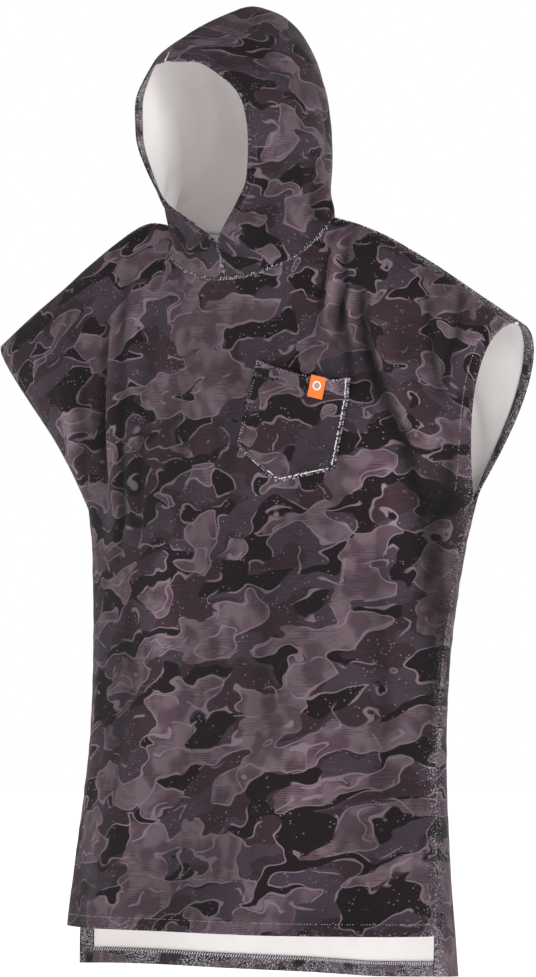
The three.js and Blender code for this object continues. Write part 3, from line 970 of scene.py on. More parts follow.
@dataclass
class Needle:
    """Sews runs of stitches along paths, by a node tree that is made once.

    Attributes:
        seed: What the stitches' unevenness is drawn from.
        tree: The node tree.
        sockets: For each input's name, the identifier that a modifier sets it by.
    """

    seed: int = 7
    tree: Any = field(init=False)
    sockets: dict[str, str] = field(init=False)

    def __post_init__(self) -> None:
        """Makes the node tree of a run of stitches."""
        self.tree = bpy.data.node_groups.new("run_of_stitches", "GeometryNodeTree")
        face = self.tree.interface
        face.new_socket(name="Path", in_out="INPUT", socket_type="NodeSocketGeometry")
        kinds = dict.fromkeys(("Pitch", "Length", "Width", "Slant", "Uneven", "Stray", "Kept"), "NodeSocketFloat")
        kinds |= {"Seed": "NodeSocketInt", "Thread": "NodeSocketMaterial"}
        self.sockets = {
            name: face.new_socket(name=name, in_out="INPUT", socket_type=kind).identifier
            for name, kind in kinds.items()
        }
        face.new_socket(name="Stitches", in_out="OUTPUT", socket_type="NodeSocketGeometry")
        self._lay()

    def _lay(self) -> None:
        """Lays a small plump stitch at each step of the path, slanted in the plane of the cloth."""
        add = partial(add_node, self.tree)
        given = add("NodeGroupInput").node.outputs
        curve = add("GeometryNodeMeshToCurve", {"Mesh": given["Path"]})
        stepped = add("GeometryNodeResampleCurve", {"Curve": curve, "Length": given["Pitch"]}, mode="LENGTH")
        points = add("GeometryNodeCurveToPoints", {"Curve": stepped}, mode="EVALUATED")
        outward = add("GeometryNodeInputNamedAttribute", {"Name": "outward"}, data_type="FLOAT_VECTOR")
        tangent = add("GeometryNodeInputNamedAttribute", {"Name": "along"}, data_type="FLOAT_VECTOR")
        laid = add(
            "FunctionNodeAxesToRotation",
            {"Primary Axis": outward, "Secondary Axis": tangent},
            primary_axis="Z",
            secondary_axis="X",
        )
        spread = add("FunctionNodeRandomValue", {2: -0.5, 3: 0.5, "Seed": given["Seed"]}, 1, data_type="FLOAT")
        uneven = add(MATH, (spread, given["Uneven"]), operation="MULTIPLY")
        slant = add(MATH, (given["Slant"], uneven), operation="ADD")
        spin = add("FunctionNodeAxisAngleToRotation", {"Axis": (0.0, 0.0, 1.0), "Angle": slant})
        rotation = add(
            "FunctionNodeRotateRotation", {"Rotation": laid, "Rotate By": spin}, rotation_space="LOCAL"
        )
        other_seed = add(MATH, (given["Seed"], 50.0), operation="ADD")
        aside = add(
            "FunctionNodeRandomValue", {0: (-1, -1, -1), 1: (1, 1, 1), "Seed": other_seed}, data_type="FLOAT_VECTOR"
        )
        # It strays over the cloth, not out from it
        out = add(VECTOR_MATH, (aside, outward), "Vector", operation="PROJECT")
        level = add(VECTOR_MATH, (aside, out), operation="SUBTRACT")
        stray = add(VECTOR_MATH, {0: level, "Scale": given["Stray"]}, operation="SCALE")
        strayed = add("GeometryNodeSetPosition", {"Geometry": points, "Offset": stray})
        shown = add(
            "FunctionNodeRandomValue", {"Probability": given["Kept"], "Seed": given["Seed"]}, 3, data_type="BOOLEAN"
        )
        even = add("ShaderNodeClamp", {"Value": uneven, "Min": -0.4, "Max": 0.4})
        length = add(MATH, (given["Length"], add(MATH, (even, 1.0), operation="ADD")), operation="MULTIPLY")
        low = add(MATH, (given["Width"], 0.7), operation="MULTIPLY")
        size = add("ShaderNodeCombineXYZ", (length, given["Width"], low))
        stitch = add("GeometryNodeMeshUVSphere", {"Segments": 6, "Rings": 4, "Radius": 0.5})
        placed = add(
            "GeometryNodeInstanceOnPoints",
            {"Points": strayed, "Selection": shown, "Instance": stitch, "Rotation": rotation, "Scale": size},
        )
        smooth = add("GeometryNodeSetShadeSmooth", (add("GeometryNodeRealizeInstances", (placed,)),))
        dyed = add("GeometryNodeSetMaterial", {"Geometry": smooth, "Material": given["Thread"]})
        add("NodeGroupOutput", (dyed,))

    def sew(self, name: str, paths: Sequence[Path], kind: Stitch, thread: Any, slot: str, start: float = 0.0) -> None:
        """Sews a run of stitches, a plain mesh that rides on the poncho.

        Args:
            name: The run's name.
            paths: The lines that it follows.
            kind: The kind of stitch.
            thread: The thread's material.
            slot: The record's material slot.
            start: How far along each line the first stitch lies, in millimetres.
        """
        grids: list[tuple[np.ndarray, ...]] = []
        edges: list[tuple[int, int]] = []
        for path in paths:
            first = sum(len(grid[0]) for grid in grids)
            line, facing = self._from(path, start)
            grids.append((line * MM, facing, unit(np.gradient(line, axis=0))))
            edges += [(first + k, first + k + 1) for k in range(len(line) - 1)]
        points, outward, along = (np.concatenate(grid) for grid in zip(*grids))
        mesh = bpy.data.meshes.new(name)
        mesh.from_pydata(points.tolist(), edges, [])
        for attribute, values in (("outward", outward), ("along", along)):
            mesh.attributes.new(attribute, "FLOAT_VECTOR", "POINT").data.foreach_set("vector", values.ravel())
        piece = bpy.data.objects.new(name, mesh)
        bpy.context.scene.collection.objects.link(piece)
        modifier = piece.modifiers.new("stitches", "NODES")
        modifier.node_group = self.tree
        values = {
            "Pitch": kind.pitch * MM,
            "Length": kind.length * MM,
            "Width": kind.width * MM,
            "Slant": kind.slant,
            "Uneven": kind.uneven,
            "Stray": kind.stray * MM,
            "Kept": kind.kept,
            "Seed": self.seed,
            "Thread": thread,
        }
        for socket, value in values.items():
            modifier[self.sockets[socket]] = value
        self.seed += 1
        evaluated = piece.evaluated_get(bpy.context.evaluated_depsgraph_get())
        baked = bpy.data.meshes.new_from_object(evaluated)
        piece.modifiers.remove(modifier)
        piece.data = baked
        baked.name = name
        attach(piece, "root")
        log.info("%s: %d faces", name, len(baked.polygons))

    @staticmethod
    def _from(path: Path, start: float) -> tuple[np.ndarray, np.ndarray]:
        """Cuts off the start of a path.

        Args:
            path: The path.
            start: The length that is cut off, in millimetres.

        Returns:
            The rest's points and normals.
        """
        lengths = np.concatenate([[0], np.cumsum(np.linalg.norm(np.diff(path.points, axis=0), axis=1))])
        if start <= 0:
            return path.points, path.normals
        kept = lengths > start
        points, normals = (
            np.vstack([[np.interp(start, lengths, grid[:, k]) for k in range(3)], grid[kept]])
            for grid in (path.points, path.normals)
        )
        return points, normals

    def speckled(self, name: str, paths: Sequence[Path], wardrobe: Wardrobe, slot: str) -> None:
        """Sews a seam of twisted pale and black thread, with ends of pale pile that stand beside it.

        Args:
            name: The seam's name.
            paths: The lines that it follows.
            wardrobe: The finishes.
            slot: The record's material slot.
        """
        for colour, thread, kind, start in (
            ("pale", wardrobe.white, Stitch.TWISTED, 0.0),
            ("black", wardrobe.black, Stitch.CORD, 0.0),
            ("flecks", wardrobe.silver, Stitch.FLECK, 0.0),
        ):
            self.sew(f"{name}_{colour}", paths, kind, thread, slot, start)


# ----------------------------------------------
# Front and back
# ----------------------------------------------


@dataclass(frozen=True)
class Fold:
    """A crest of cloth, or a trough if its rise is below zero, along a line of the front view.

    Attributes:
        start: x and z of its upper end.
        end: x and z of its lower end.
        spread: Its half width.
        rise: How far it comes out.
    """

    start: tuple[float, float]
    end: tuple[float, float]
    spread: float
    rise: float

    def at(self, x: np.ndarray, z: np.ndarray) -> np.ndarray:
        """How far it pushes the cloth out.

        Args:
            x: Each place across, seen from the front.
            z: Its height.

        Returns:
            The push, in millimetres.
        """
        along = (self.start[1] - z) / (self.start[1] - self.end[1])
        inside = np.clip(along, 0, 1)
        off = (x - mix(self.start[0], self.end[0], inside)) / self.spread
        return self.rise * np.exp(-off * off) * np.sin(np.pi * inside) ** 0.7


@dataclass
class Body:
    """Front and back panel, their turned hems, and the seams that join them.

    Attributes hold the garment's sizes in millimetres, with heights down from the neck.
    """

    needle: Needle
    wardrobe: Wardrobe
    cloth: float = 2.5
    hem_cloth: float = 1.5
    seam_gap: float = 0.3
    armpit: float = -425
    slit_top: float = -966
    front_hem: float = -1066
    back_hem: float = -1126
    hem_width: float = 22
    neck_half_width: float = 152
    sleeve_reach: float = 488
    sleeve_starts: float = 0.5
    right_edge_drawn_in: float = 11
    # The box round each panel's flat cut, in metres, and its area
    cuts: dict[int, tuple[tuple[float, float], float]] = field(
        default_factory=lambda: {FRONT: ((1.06, 1.09), 0.86), BACK: ((1.12, 1.15), 0.95)}
    )
    neck_depth: dict[int, float] = field(default_factory=lambda: {FRONT: 68, BACK: 50})
    neck_drop: dict[int, float] = field(default_factory=lambda: {FRONT: 90, BACK: 15})
    neck_ease: dict[int, float] = field(default_factory=lambda: {FRONT: 1.7, BACK: 1.0})
    round_from: float = 0.68
    neck_blend: float = 3
    # Reach along the shoulder, and its height on the wearer's left and right
    ridge: Sequence[Sequence[float]] = (
        (152, 0, 0), (200, -13, 6), (250, -32, -14), (300, -57, -46), (350, -84, -80), (420, -127, -123),
        (488, -168, -168),
    )
    # Height, half width, how far back the side seams lie, and the front and back at the centre
    sections: Sequence[Sequence[float]] = (
        (-425, 356, 75, -90, 164), (-490, 342, 65, -91, 167), (-640, 325, 42, -94, 174), (-790, 323, 28, -102, 172),
        (-970, 333, 12, -137, 194), (-1066, 338, 5, -160, 218), (-1126, 338, 3, -166, 236),
    )
    # How far the hems ride up at the wearer's right and left edge
    hem_lift_from: float = -700
    hem_lift_right: float = 8
    hem_lift_left: float = 2
    back_hem_sag: float = 13
    mouth_half_opening: float = 66
    mouth_right: float = 0.5
    mouth_widest: float = 0.3
    mouth_rise: float = 0.45
    mouth_close: float = 1.05
    folds: dict[int, Sequence[Fold]] = field(
        default_factory=lambda: {
            FRONT: (
                Fold((-196, -70), (-208, -430), 26, 14),
                Fold((-262, -110), (-276, -520), 34, -16),
                Fold((196, -20), (216, -170), 20, 6),
                Fold((224, -90), (320, -430), 22, -11),
                Fold((264, -60), (356, -390), 26, 9),
                Fold((316, -380), (322, -720), 26, -6),
                Fold((-150, -700), (-205, -1200), 55, 14),
                Fold((-30, -760), (-60, -1200), 60, -12),
                Fold((120, -720), (150, -1200), 60, 12),
                Fold((235, -640), (262, -1200), 45, -10),
            ),
            BACK: (
                Fold((-210, -90), (-230, -470), 34, 12),
                Fold((205, -80), (235, -480), 34, 13),
                Fold((-282, -130), (-292, -560), 36, -10),
                Fold((280, -120), (290, -540), 36, -11),
                Fold((-40, -560), (-90, -1300), 70, 20),
                Fold((80, -480), (70, -1300), 62, -18),
                Fold((190, -600), (215, -1300), 58, 17),
                Fold((-200, -620), (-225, -1300), 58, -14),
            ),
        }
    )
    # Lesser creases, which only show as soft shading
    creases: dict[int, Sequence[Fold]] = field(
        default_factory=lambda: {
            FRONT: (
                # Beside the neck, down to the pocket's corner
                Fold((160, -14), (166, -190), 8, -8),
                Fold((176, -14), (184, -150), 9, 6),
                Fold((188, -20), (212, -130), 10, -11),
                Fold((213, -80), (196, -200), 8, -11),
                Fold((196, -100), (230, -250), 9, -11),
                Fold((206, -60), (228, -180), 7, 6),
                Fold((232, -90), (264, -250), 10, -9),
                # From the shoulder down past the pocket to the side
                Fold((226, -120), (312, -360), 12, -8),
                Fold((306, -270), (320, -580), 12, -9),
                Fold((318, -440), (326, -800), 11, -7),
                Fold((262, -130), (338, -330), 16, 4),
                Fold((272, -290), (296, -600), 15, 4),
                # On the sleeve
                Fold((358, -110), (382, -280), 10, -10),
                Fold((404, -112), (422, -200), 10, -9),
                Fold((424, -170), (388, -270), 9, -9),
                Fold((384, -110), (402, -240), 12, 4),
                # Drawn towards the armpit
                Fold((386, -320), (322, -460), 9, -7),
                Fold((368, -300), (300, -430), 10, 4),
                Fold((352, -396), (296, -520), 9, -5),
                Fold((340, -440), (300, -600), 8, -4),
                # The wearer's right
                Fold((-214, -40), (-188, -300), 11, -8),
                Fold((-188, -240), (-214, -520), 12, -9),
                Fold((-238, -110), (-264, -400), 13, -8),
                Fold((-226, -120), (-234, -420), 11, 5),
                Fold((-286, -180), (-318, -420), 12, -5),
                Fold((-340, -190), (-322, -410), 12, 4),
                Fold((-150, -120), (-164, -520), 14, -4),
                # Across the chest and the body
                Fold((-60, -150), (-74, -460), 24, -3),
                Fold((30, -170), (24, -420), 24, -3),
                Fold((252, -480), (276, -860), 14, -4),
                Fold((-262, -560), (-280, -960), 16, 3),
                Fold((-90, -420), (-120, -820), 26, 3),
                Fold((80, -430), (96, -860), 26, -3.5),
                Fold((-180, -560), (-200, -1000), 22, -4),
            ),
            BACK: (
                Fold((172, -10), (186, -170), 10, 4),
                Fold((-172, -6), (-190, -170), 10, 4),
                Fold((206, -20), (226, -200), 10, -3.5),
                Fold((-206, -20), (-222, -210), 10, -3.5),
                Fold((300, -90), (350, -360), 13, 3.5),
                Fold((-296, -80), (-352, -350), 13, 3.5),
                Fold((262, -190), (344, -440), 12, -4),
                Fold((-256, -200), (-342, -450), 12, -4),
                Fold((20, -60), (10, -420), 26, -3),
                Fold((-90, -180), (-130, -620), 22, 3),
                Fold((110, -200), (120, -560), 24, 3),
                Fold((272, -520), (286, -840), 14, 3),
                Fold((-276, -500), (-290, -860), 14, -3),
            ),
        }
    )
    turn_steps: int = 72
    # Rows from the armpit to the slits, down the slits, of each turned hem, and of the back below the front's hem
    body_steps: int = 72
    slit_steps: int = 10
    hem_steps: int = 4
    tail_steps: int = 6
    neck_steps: int = 64
    side_steps: int = 62
    sleeve_hem_columns: int = 7
    slit_hem_columns: int = 2
    surfaces: dict[int, Surface] = field(default_factory=dict)

    @property
    def neck_share(self) -> float:
        """The neck's half width as a share of the reach to a sleeve's tip."""
        return self.neck_half_width / self.sleeve_reach

    def section(self, column: int, height: np.ndarray) -> np.ndarray:
        """A column of the body's level sections, at heights."""
        return read_table(self.sections, column, height)

    def mouth(self, fall: np.ndarray, across: np.ndarray) -> np.ndarray:
        """Half an armhole's opening.

        Args:
            fall: Share of the way down from the sleeve tip to the armpit.
            across: Place across the panel, from -1 to 1.

        Returns:
            The half opening, in millimetres.
        """
        wide = self.mouth_half_opening * np.where(across < 0, self.mouth_right, 1.0)
        rising = (fall / self.mouth_widest) ** self.mouth_rise
        closing = (np.clip(1 - fall, 0, 1) / (1 - self.mouth_widest)) ** self.mouth_close
        return wide * rising * closing

    def top_edge(self, side: int, across: np.ndarray) -> tuple[np.ndarray, np.ndarray]:
        """The line of a panel's top edge.

        Args:
            side: FRONT or BACK.
            across: Place across the panel, from -1 to 1.

        Returns:
            The edge's height, and its depth from the plane of the shoulder seams.
        """
        share = np.abs(across) / self.neck_share
        reach = np.abs(across) * self.sleeve_reach
        on_ridge = np.where(across < 0, read_table(self.ridge, 2, reach), read_table(self.ridge, 1, reach))
        curve = np.sqrt(np.clip(1 - share * share, 0, 1))
        height = np.where(share >= 1, on_ridge, -self.neck_drop[side] * curve)
        return height, np.where(share >= 1, 0, self.neck_depth[side] * curve)

    def shoulder_depth(
        self, side: int, across: np.ndarray, turn: np.ndarray, fall: np.ndarray, sleeve: np.ndarray
    ) -> np.ndarray:
        """How far a panel has come forward or back from the shoulder seams.

        Args:
            side: FRONT or BACK.
            across: Place across the panel, from -1 at the wearer's right edge to 1 at the left.
            turn: The turn over the shoulder, up to a quarter.
            fall: Share of the way down to the armpit.
            sleeve: How far the place belongs to a sleeve, from 0 to 1.

        Returns:
            The depth, in millimetres.
        """
        seam = self.section(2, self.armpit)
        full = abs(self.section(3 if side < 0 else 4, self.armpit) - seam)
        rounder = smoothstep(np.abs(across), self.neck_share, self.round_from)
        ease = mix(self.neck_ease[side], 1.0, rounder)
        body = full * np.sqrt(np.clip(1 - across * across, 0, 1)) * np.sin(turn) ** ease
        lean = seam * mix(np.sin(turn) ** 2, fall, sleeve)
        return lean + side * np.hypot(body, self.mouth(fall, across) * sleeve)

    def place(self, side: int, across: np.ndarray, turn: np.ndarray, height: np.ndarray) -> np.ndarray:
        """Points of a panel's outer face.

        Args:
            side: FRONT or BACK.
            across: Place across the panel, from -1 to 1.
            turn: The turn over the shoulder, a quarter below the armpit.
            height: The height, the armpit's above it.

        Returns:
            The points, in millimetres.
        """
        fall = 1 - np.cos(turn)
        top, top_depth = self.top_edge(side, across)
        sleeve = smoothstep(np.abs(across), self.sleeve_starts, 1)
        drawn_in = np.where(across < 0, self.right_edge_drawn_in * np.sin(np.pi * fall) * sleeve, 0)
        upper_x = across * (mix(self.sleeve_reach, self.section(1, self.armpit), fall) - drawn_in)
        upper_z = mix(top, self.armpit, fall)
        in_neck = np.abs(across) < self.neck_share
        turn_here = np.where(in_neck, np.arccos(np.clip(1 - upper_z / self.armpit, -1, 1)), turn)
        top_turn = np.where(in_neck, np.arccos(np.clip(1 - top / self.armpit, -1, 1)), 0)
        nothing = np.zeros_like(fall)
        top_shift = side * top_depth - self.shoulder_depth(side, across, top_turn, nothing, sleeve)
        upper_y = self.shoulder_depth(side, across, turn_here, fall, sleeve)
        upper_y = upper_y + top_shift * (1 - fall) ** self.neck_blend
        curve = np.sqrt(np.clip(1 - across * across, 0, 1))
        seam = self.section(2, height)
        full = np.abs(self.section(3 if side < 0 else 4, height) - seam)
        below = height < self.armpit
        x = np.where(below, across * self.section(1, height), upper_x)
        y = np.where(below, seam + side * full * curve, upper_y) + side * self.seam_gap / 2
        z = np.where(below, height, upper_z)
        rise = sum(fold.at(x, z) for fold in self.folds[side])
        rise = rise * np.where(below, 1, np.sin(np.minimum(turn * 1.5, np.pi / 2))) * (1 - across**12)
        creased = self.creased(side, x, z) + self._ripples(side, across, z, below)
        rise = rise + creased * np.where(below, 1, np.sin(turn) ** 0.5) * (1 - across**24)
        x = x + rise * across * 0.6
        y = y + side * rise * np.sqrt(1 - 0.36 * across * across)
        low = smoothstep(-height, -self.hem_lift_from, -self.front_hem)
        z = z + low * mix(self.hem_lift_right, self.hem_lift_left, smoothstep(across, -1, 1))
        z = z - (low * self.back_hem_sag * (1 - across * across) if side > 0 else 0)
        return np.stack([x, y, z], -1)

    def creased(self, side: int, x: np.ndarray, z: np.ndarray) -> np.ndarray:
        """How far a panel's lesser creases push the cloth out at places of the front view."""
        return sum(crease.at(x, z) for crease in self.creases[side])

    @staticmethod
    def _ripples(side: int, across: np.ndarray, z: np.ndarray, below: np.ndarray) -> np.ndarray:
        """Small puckers that the side seams draw in the cloth beside them.

        Args:
            side: FRONT or BACK.
            across: Place across the panel, from -1 to 1.
            z: The height.
            below: Whether the place lies below the armpit.

        Returns:
            How far they push the cloth out, in millimetres.
        """
        near = np.exp(-(((1 - np.abs(across)) / 0.05) ** 2)) * np.where(below, 1.0, 0.4)
        hand = np.sign(across)
        waves = np.sin(z / 5.3 + hand) + 0.8 * np.sin(z / 8.9 + side + 2 * hand) + 0.6 * np.sin(z / 17 - hand)
        return near * waves * 0.9

    def rows(self, side: int) -> tuple[np.ndarray, np.ndarray]:
        """A panel's rows, from the shoulder to the hem.

        Args:
            side: FRONT or BACK.

        Returns:
            Each row's turn over the shoulder, and its height.
        """
        turns = np.linspace(0, math.pi / 2, self.turn_steps + 1)
        front_fold, back_fold = self.front_hem + self.hem_width, self.back_hem + self.hem_width
        stops = [
            (self.armpit, self.slit_top, self.body_steps),
            (self.slit_top, front_fold, self.slit_steps),
            (front_fold, self.front_hem, self.hem_steps),
        ]
        if side > 0:
            stops.append((self.front_hem, back_fold, self.tail_steps))
            stops.append((back_fold, self.back_hem, self.hem_steps))
        heights = np.concatenate([np.linspace(start, end, steps + 1)[1:] for start, end, steps in stops])
        return (
            np.concatenate([turns, np.full(len(heights), math.pi / 2)]),
            np.concatenate([np.full(len(turns), self.armpit), heights]),
        )

    def columns(self) -> np.ndarray:
        """Places across a panel: even round the neck, and closer together towards the side seams.

        Returns:
            Each column's place, from -1 to 1.
        """
        neck = -self.neck_share * np.cos(np.pi * np.arange(self.neck_steps + 1) / self.neck_steps)
        # The two next to each end would make slivers, whose normals can't be told
        neck = np.delete(neck, (1, 2, -3, -2))
        step = np.arange(1, self.side_steps + 1) / self.side_steps
        beside = mix(self.neck_share, 1, mix(step, np.sin(np.pi / 2 * step), 0.7))
        return np.concatenate([-beside[::-1], neck, beside])

    def surface(self, side: int) -> Surface:
        """A panel's outer face.

        Args:
            side: FRONT or BACK.

        Returns:
            The face, whose normals at the shoulder and side seams are square to the seam.
        """
        across = self.columns()
        turns, heights = self.rows(side)
        grids = np.broadcast_arrays(across[None, :], turns[:, None], heights[:, None])
        points = self.place(side, *grids)
        normals = grid_normals(points, (0, side, 0))
        on_ridge = np.abs(across) >= self.neck_share - 1e-6
        for hand in (-1, 1):
            chosen = on_ridge & (np.sign(across) == hand)
            step = np.gradient(points[0, chosen], axis=0)
            normals[0, chosen] = unit(np.stack([-step[:, 2], np.zeros(len(step)), step[:, 0]], -1))
        body = turns >= math.pi / 2 - 1e-9
        normals[body, 0] = (-1, 0, 0)
        normals[body, -1] = (1, 0, 0)
        flat = flat_cut(points, self.turn_steps, len(across) // 2)
        x, z = points[..., 0], points[..., 2]
        pushed = self.creased(side, x, z) / 6.5 + sum(fold.at(x, z) for fold in self.folds[side]) / 40
        relief = np.clip(pushed * np.sin(turns)[:, None] ** 0.5, -1, 0.6)
        return Surface(points, normals, flat, self._wear(side, across, turns, heights), relief)

    def _wear(self, side: int, across: np.ndarray, turns: np.ndarray, heights: np.ndarray) -> np.ndarray:
        """Pale pile along the seams and edges of a panel.

        Args:
            side: FRONT or BACK.
            across: Each column's place across the panel.
            turns: Each row's turn over the shoulder.
            heights: Each row's height.

        Returns:
            For each point, from 0 to 1.
        """
        beside = np.exp(-(((1 - np.abs(across)) / 0.012) ** 1.0))[None, :]
        ridge = np.exp(-((turns / 0.16) ** 1.5))[:, None]
        foot = self.front_hem if side < 0 else self.back_hem
        hem = np.exp(-(((heights - foot) / 9) ** 2))[:, None]
        return np.clip(0.75 * beside + 0.9 * ridge + 0.55 * hem, 0, 1)

    def build(self) -> None:
        """Makes both panels, their hems and the seams between them."""
        for side, word in ((FRONT, "front"), (BACK, "back")):
            self.surfaces[side] = self.surface(side)
            self._panel(side, word)
        self._shoulder_seams()
        self._side_seams()
        self._hem_stitching()

    def _panel(self, side: int, word: str) -> None:
        """Makes a panel with its turned hems, and declares its cut.

        Args:
            side: FRONT or BACK.
            word: The panel's name.
        """
        outer = self.surfaces[side]
        across = self.columns()
        turns, heights = self.rows(side)
        folded = np.zeros(outer.wear.shape)
        sleeve_rows = (turns > 0) & (turns < math.pi / 2)
        folded[np.ix_(sleeve_rows, (0, len(across) - 1))] = 1
        folded[-1, :] = 1
        if side > 0:
            folded[np.ix_(heights < self.slit_top, (0, len(across) - 1))] = 1
        finishes = (self.wardrobe.printed, self.wardrobe.undyed)
        panel = cloth_shell(f"{word}_panel_cloth", outer, self.cloth, finishes, folded)
        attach(panel, "root")
        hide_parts(f"{word}_panel")
        hems = self._hems(side, word, outer)
        log.info("%s: %d faces, %d hems", panel.name, len(panel.data.polygons), len(hems))

    def _hems(self, side: int, word: str, outer: Surface) -> list[Any]:
        """Makes the turned hems of a panel.

        Args:
            side: FRONT or BACK.
            word: The panel's name.
            outer: The panel's outer face.

        Returns:
            The hems' objects.
        """
        inside = outer.moved(-self.cloth - self.seam_gap)
        last = inside.points.shape[1] - 1
        step = self.turn_steps // 12
        sleeve = slice(step, self.turn_steps)
        wide = self.sleeve_hem_columns
        foot_row = inside.points.shape[0] - 1
        slit = self.slit_hem_columns
        foot = slice(foot_row - self.hem_steps, foot_row + 1)
        kinds = [
            (f"sleeve_hem_{word}_right", sleeve, slice(0, wide + 1)),
            (f"sleeve_hem_{word}_left", sleeve, slice(last - wide, last + 1)),
            (f"{word}_hem", foot, slice(slit, last - slit + 1) if side > 0 else slice(1, last)),
        ]
        if side > 0:
            top = self.turn_steps + self.body_steps
            kinds.append(("slit_hem_right", slice(top, foot_row + 1), slice(0, slit + 1)))
            kinds.append(("slit_hem_left", slice(top, foot_row + 1), slice(last - slit, last + 1)))
        made = []
        for name, rows, columns in kinds:
            hem = cloth_shell(f"{name}_band", inside.part(rows, columns), self.hem_cloth, (self.wardrobe.hem,))
            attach(hem, "root")
            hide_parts(name)
            made.append(hem)
        return made

    def _shoulder_seams(self) -> None:
        """Sews the speckled seam along the ridge of each shoulder."""
        front, back = (self.surfaces[side] for side in (FRONT, BACK))
        last = front.points.shape[1] - 1
        for hand, columns in (("right", np.arange(0, self.side_steps + 1)),
                              ("left", np.arange(last - self.side_steps, last + 1))):
            points = (front.points[0, columns] + back.points[0, columns]) / 2
            normals = front.normals[0, columns]
            path = Path(points + normals * 0.3, normals)
            self.needle.speckled(f"shoulder_seam_{hand}", [path], self.wardrobe, "printed_terry")

    def _side_seams(self) -> None:
        """Sews the thread that shows along each side seam."""
        front, back = (self.surfaces[side] for side in (FRONT, BACK))
        for hand, column in (("right", 0), ("left", front.points.shape[1] - 1)):
            rows = np.arange(self.turn_steps, self.turn_steps + self.body_steps + 1)
            points = (front.points[rows, column] + back.points[rows, column]) / 2
            path = Path(points + front.normals[rows, column] * 0.1, front.normals[rows, column])
            self.needle.sew(f"side_seam_{hand}", [path], Stitch.LOOSE, self.wardrobe.grey, "printed_terry")
            self.needle.sew(f"side_seam_{hand}_flecks", [path], Stitch.FLECK, self.wardrobe.silver, "printed_terry")

    def _hem_stitching(self) -> None:
        """Sews down the turned hems, with the overlocked edge of the back hem inside."""
        for side, word in ((FRONT, "front"), (BACK, "back")):
            outer = self.surfaces[side]
            last = outer.points.shape[1] - 1
            foot_row = outer.points.shape[0] - 1
            columns = np.arange(self.slit_hem_columns, last - self.slit_hem_columns + 1)
            runs = [outer.line(np.full(len(columns), foot_row - 3.0), columns, 0.15)]
            rows = np.arange(2, self.turn_steps - 1)
            for edge in (self.sleeve_hem_columns - 0.6, last - self.sleeve_hem_columns + 0.6):
                runs.append(outer.line(rows, np.full(len(rows), edge), 0.15))
            if side > 0:
                rows = np.arange(self.turn_steps + self.body_steps, foot_row + 1)
                for edge in (self.slit_hem_columns - 0.6, last - self.slit_hem_columns + 0.6):
                    runs.append(outer.line(rows, np.full(len(rows), edge), 0.15))
            thread = self.wardrobe.silver if side < 0 else self.wardrobe.grey
            self.needle.sew(f"{word}_hem_stitches", runs, Stitch.TOPSTITCH, thread, "printed_terry")
        inner = self.surfaces[BACK].moved(-self.cloth - self.seam_gap - self.hem_cloth)
        flipped = replace(inner, normals=-inner.normals)
        edge = flipped.line(np.full(len(columns), foot_row - 3.7), columns, 0.3)
        lower = flipped.line(np.full(len(columns), foot_row - 0.4), columns, 0.2)
        # Two threads in turn, half a stitch apart
        between = Stitch.HATCH.pitch / 2
        for colour, thread, start in (("pale", self.wardrobe.white, 0.0), ("black", self.wardrobe.black, between)):
            self.needle.sew(f"back_hem_overlock_{colour}", [edge], Stitch.HATCH, thread, "printed_hem", start)
        self.needle.sew("back_hem_flecks", [lower], Stitch.FLECK, self.wardrobe.silver, "printed_hem")


# ----------------------------------------------
# Hood
# ----------------------------------------------


@dataclass(frozen=True)
class Dent:
    """A soft crease of the hood: rows up from the neck and shares round from its face edge to the centre back."""

    start: tuple[float, float]
    end: tuple[float, float]
    spread: float
    rise: float

    def at(self, row: np.ndarray, share: np.ndarray) -> np.ndarray:
        """How far it pushes the cloth out.

        Args:
            row: Level of each place.
            share: Share round of each place.

        Returns:
            The push, in millimetres.
        """
        direction = np.subtract(self.end, self.start)
        length = np.hypot(*direction)
        along = ((row - self.start[0]) * direction[0] + (share * 10 - self.start[1]) * direction[1]) / length**2
        inside = np.clip(along, 0, 1)
        off = np.hypot(
            row - self.start[0] - inside * direction[0], share * 10 - self.start[1] - inside * direction[1]
        )
        return self.rise * np.exp(-((off / self.spread) ** 2)) * np.sin(np.pi * inside) ** 0.6


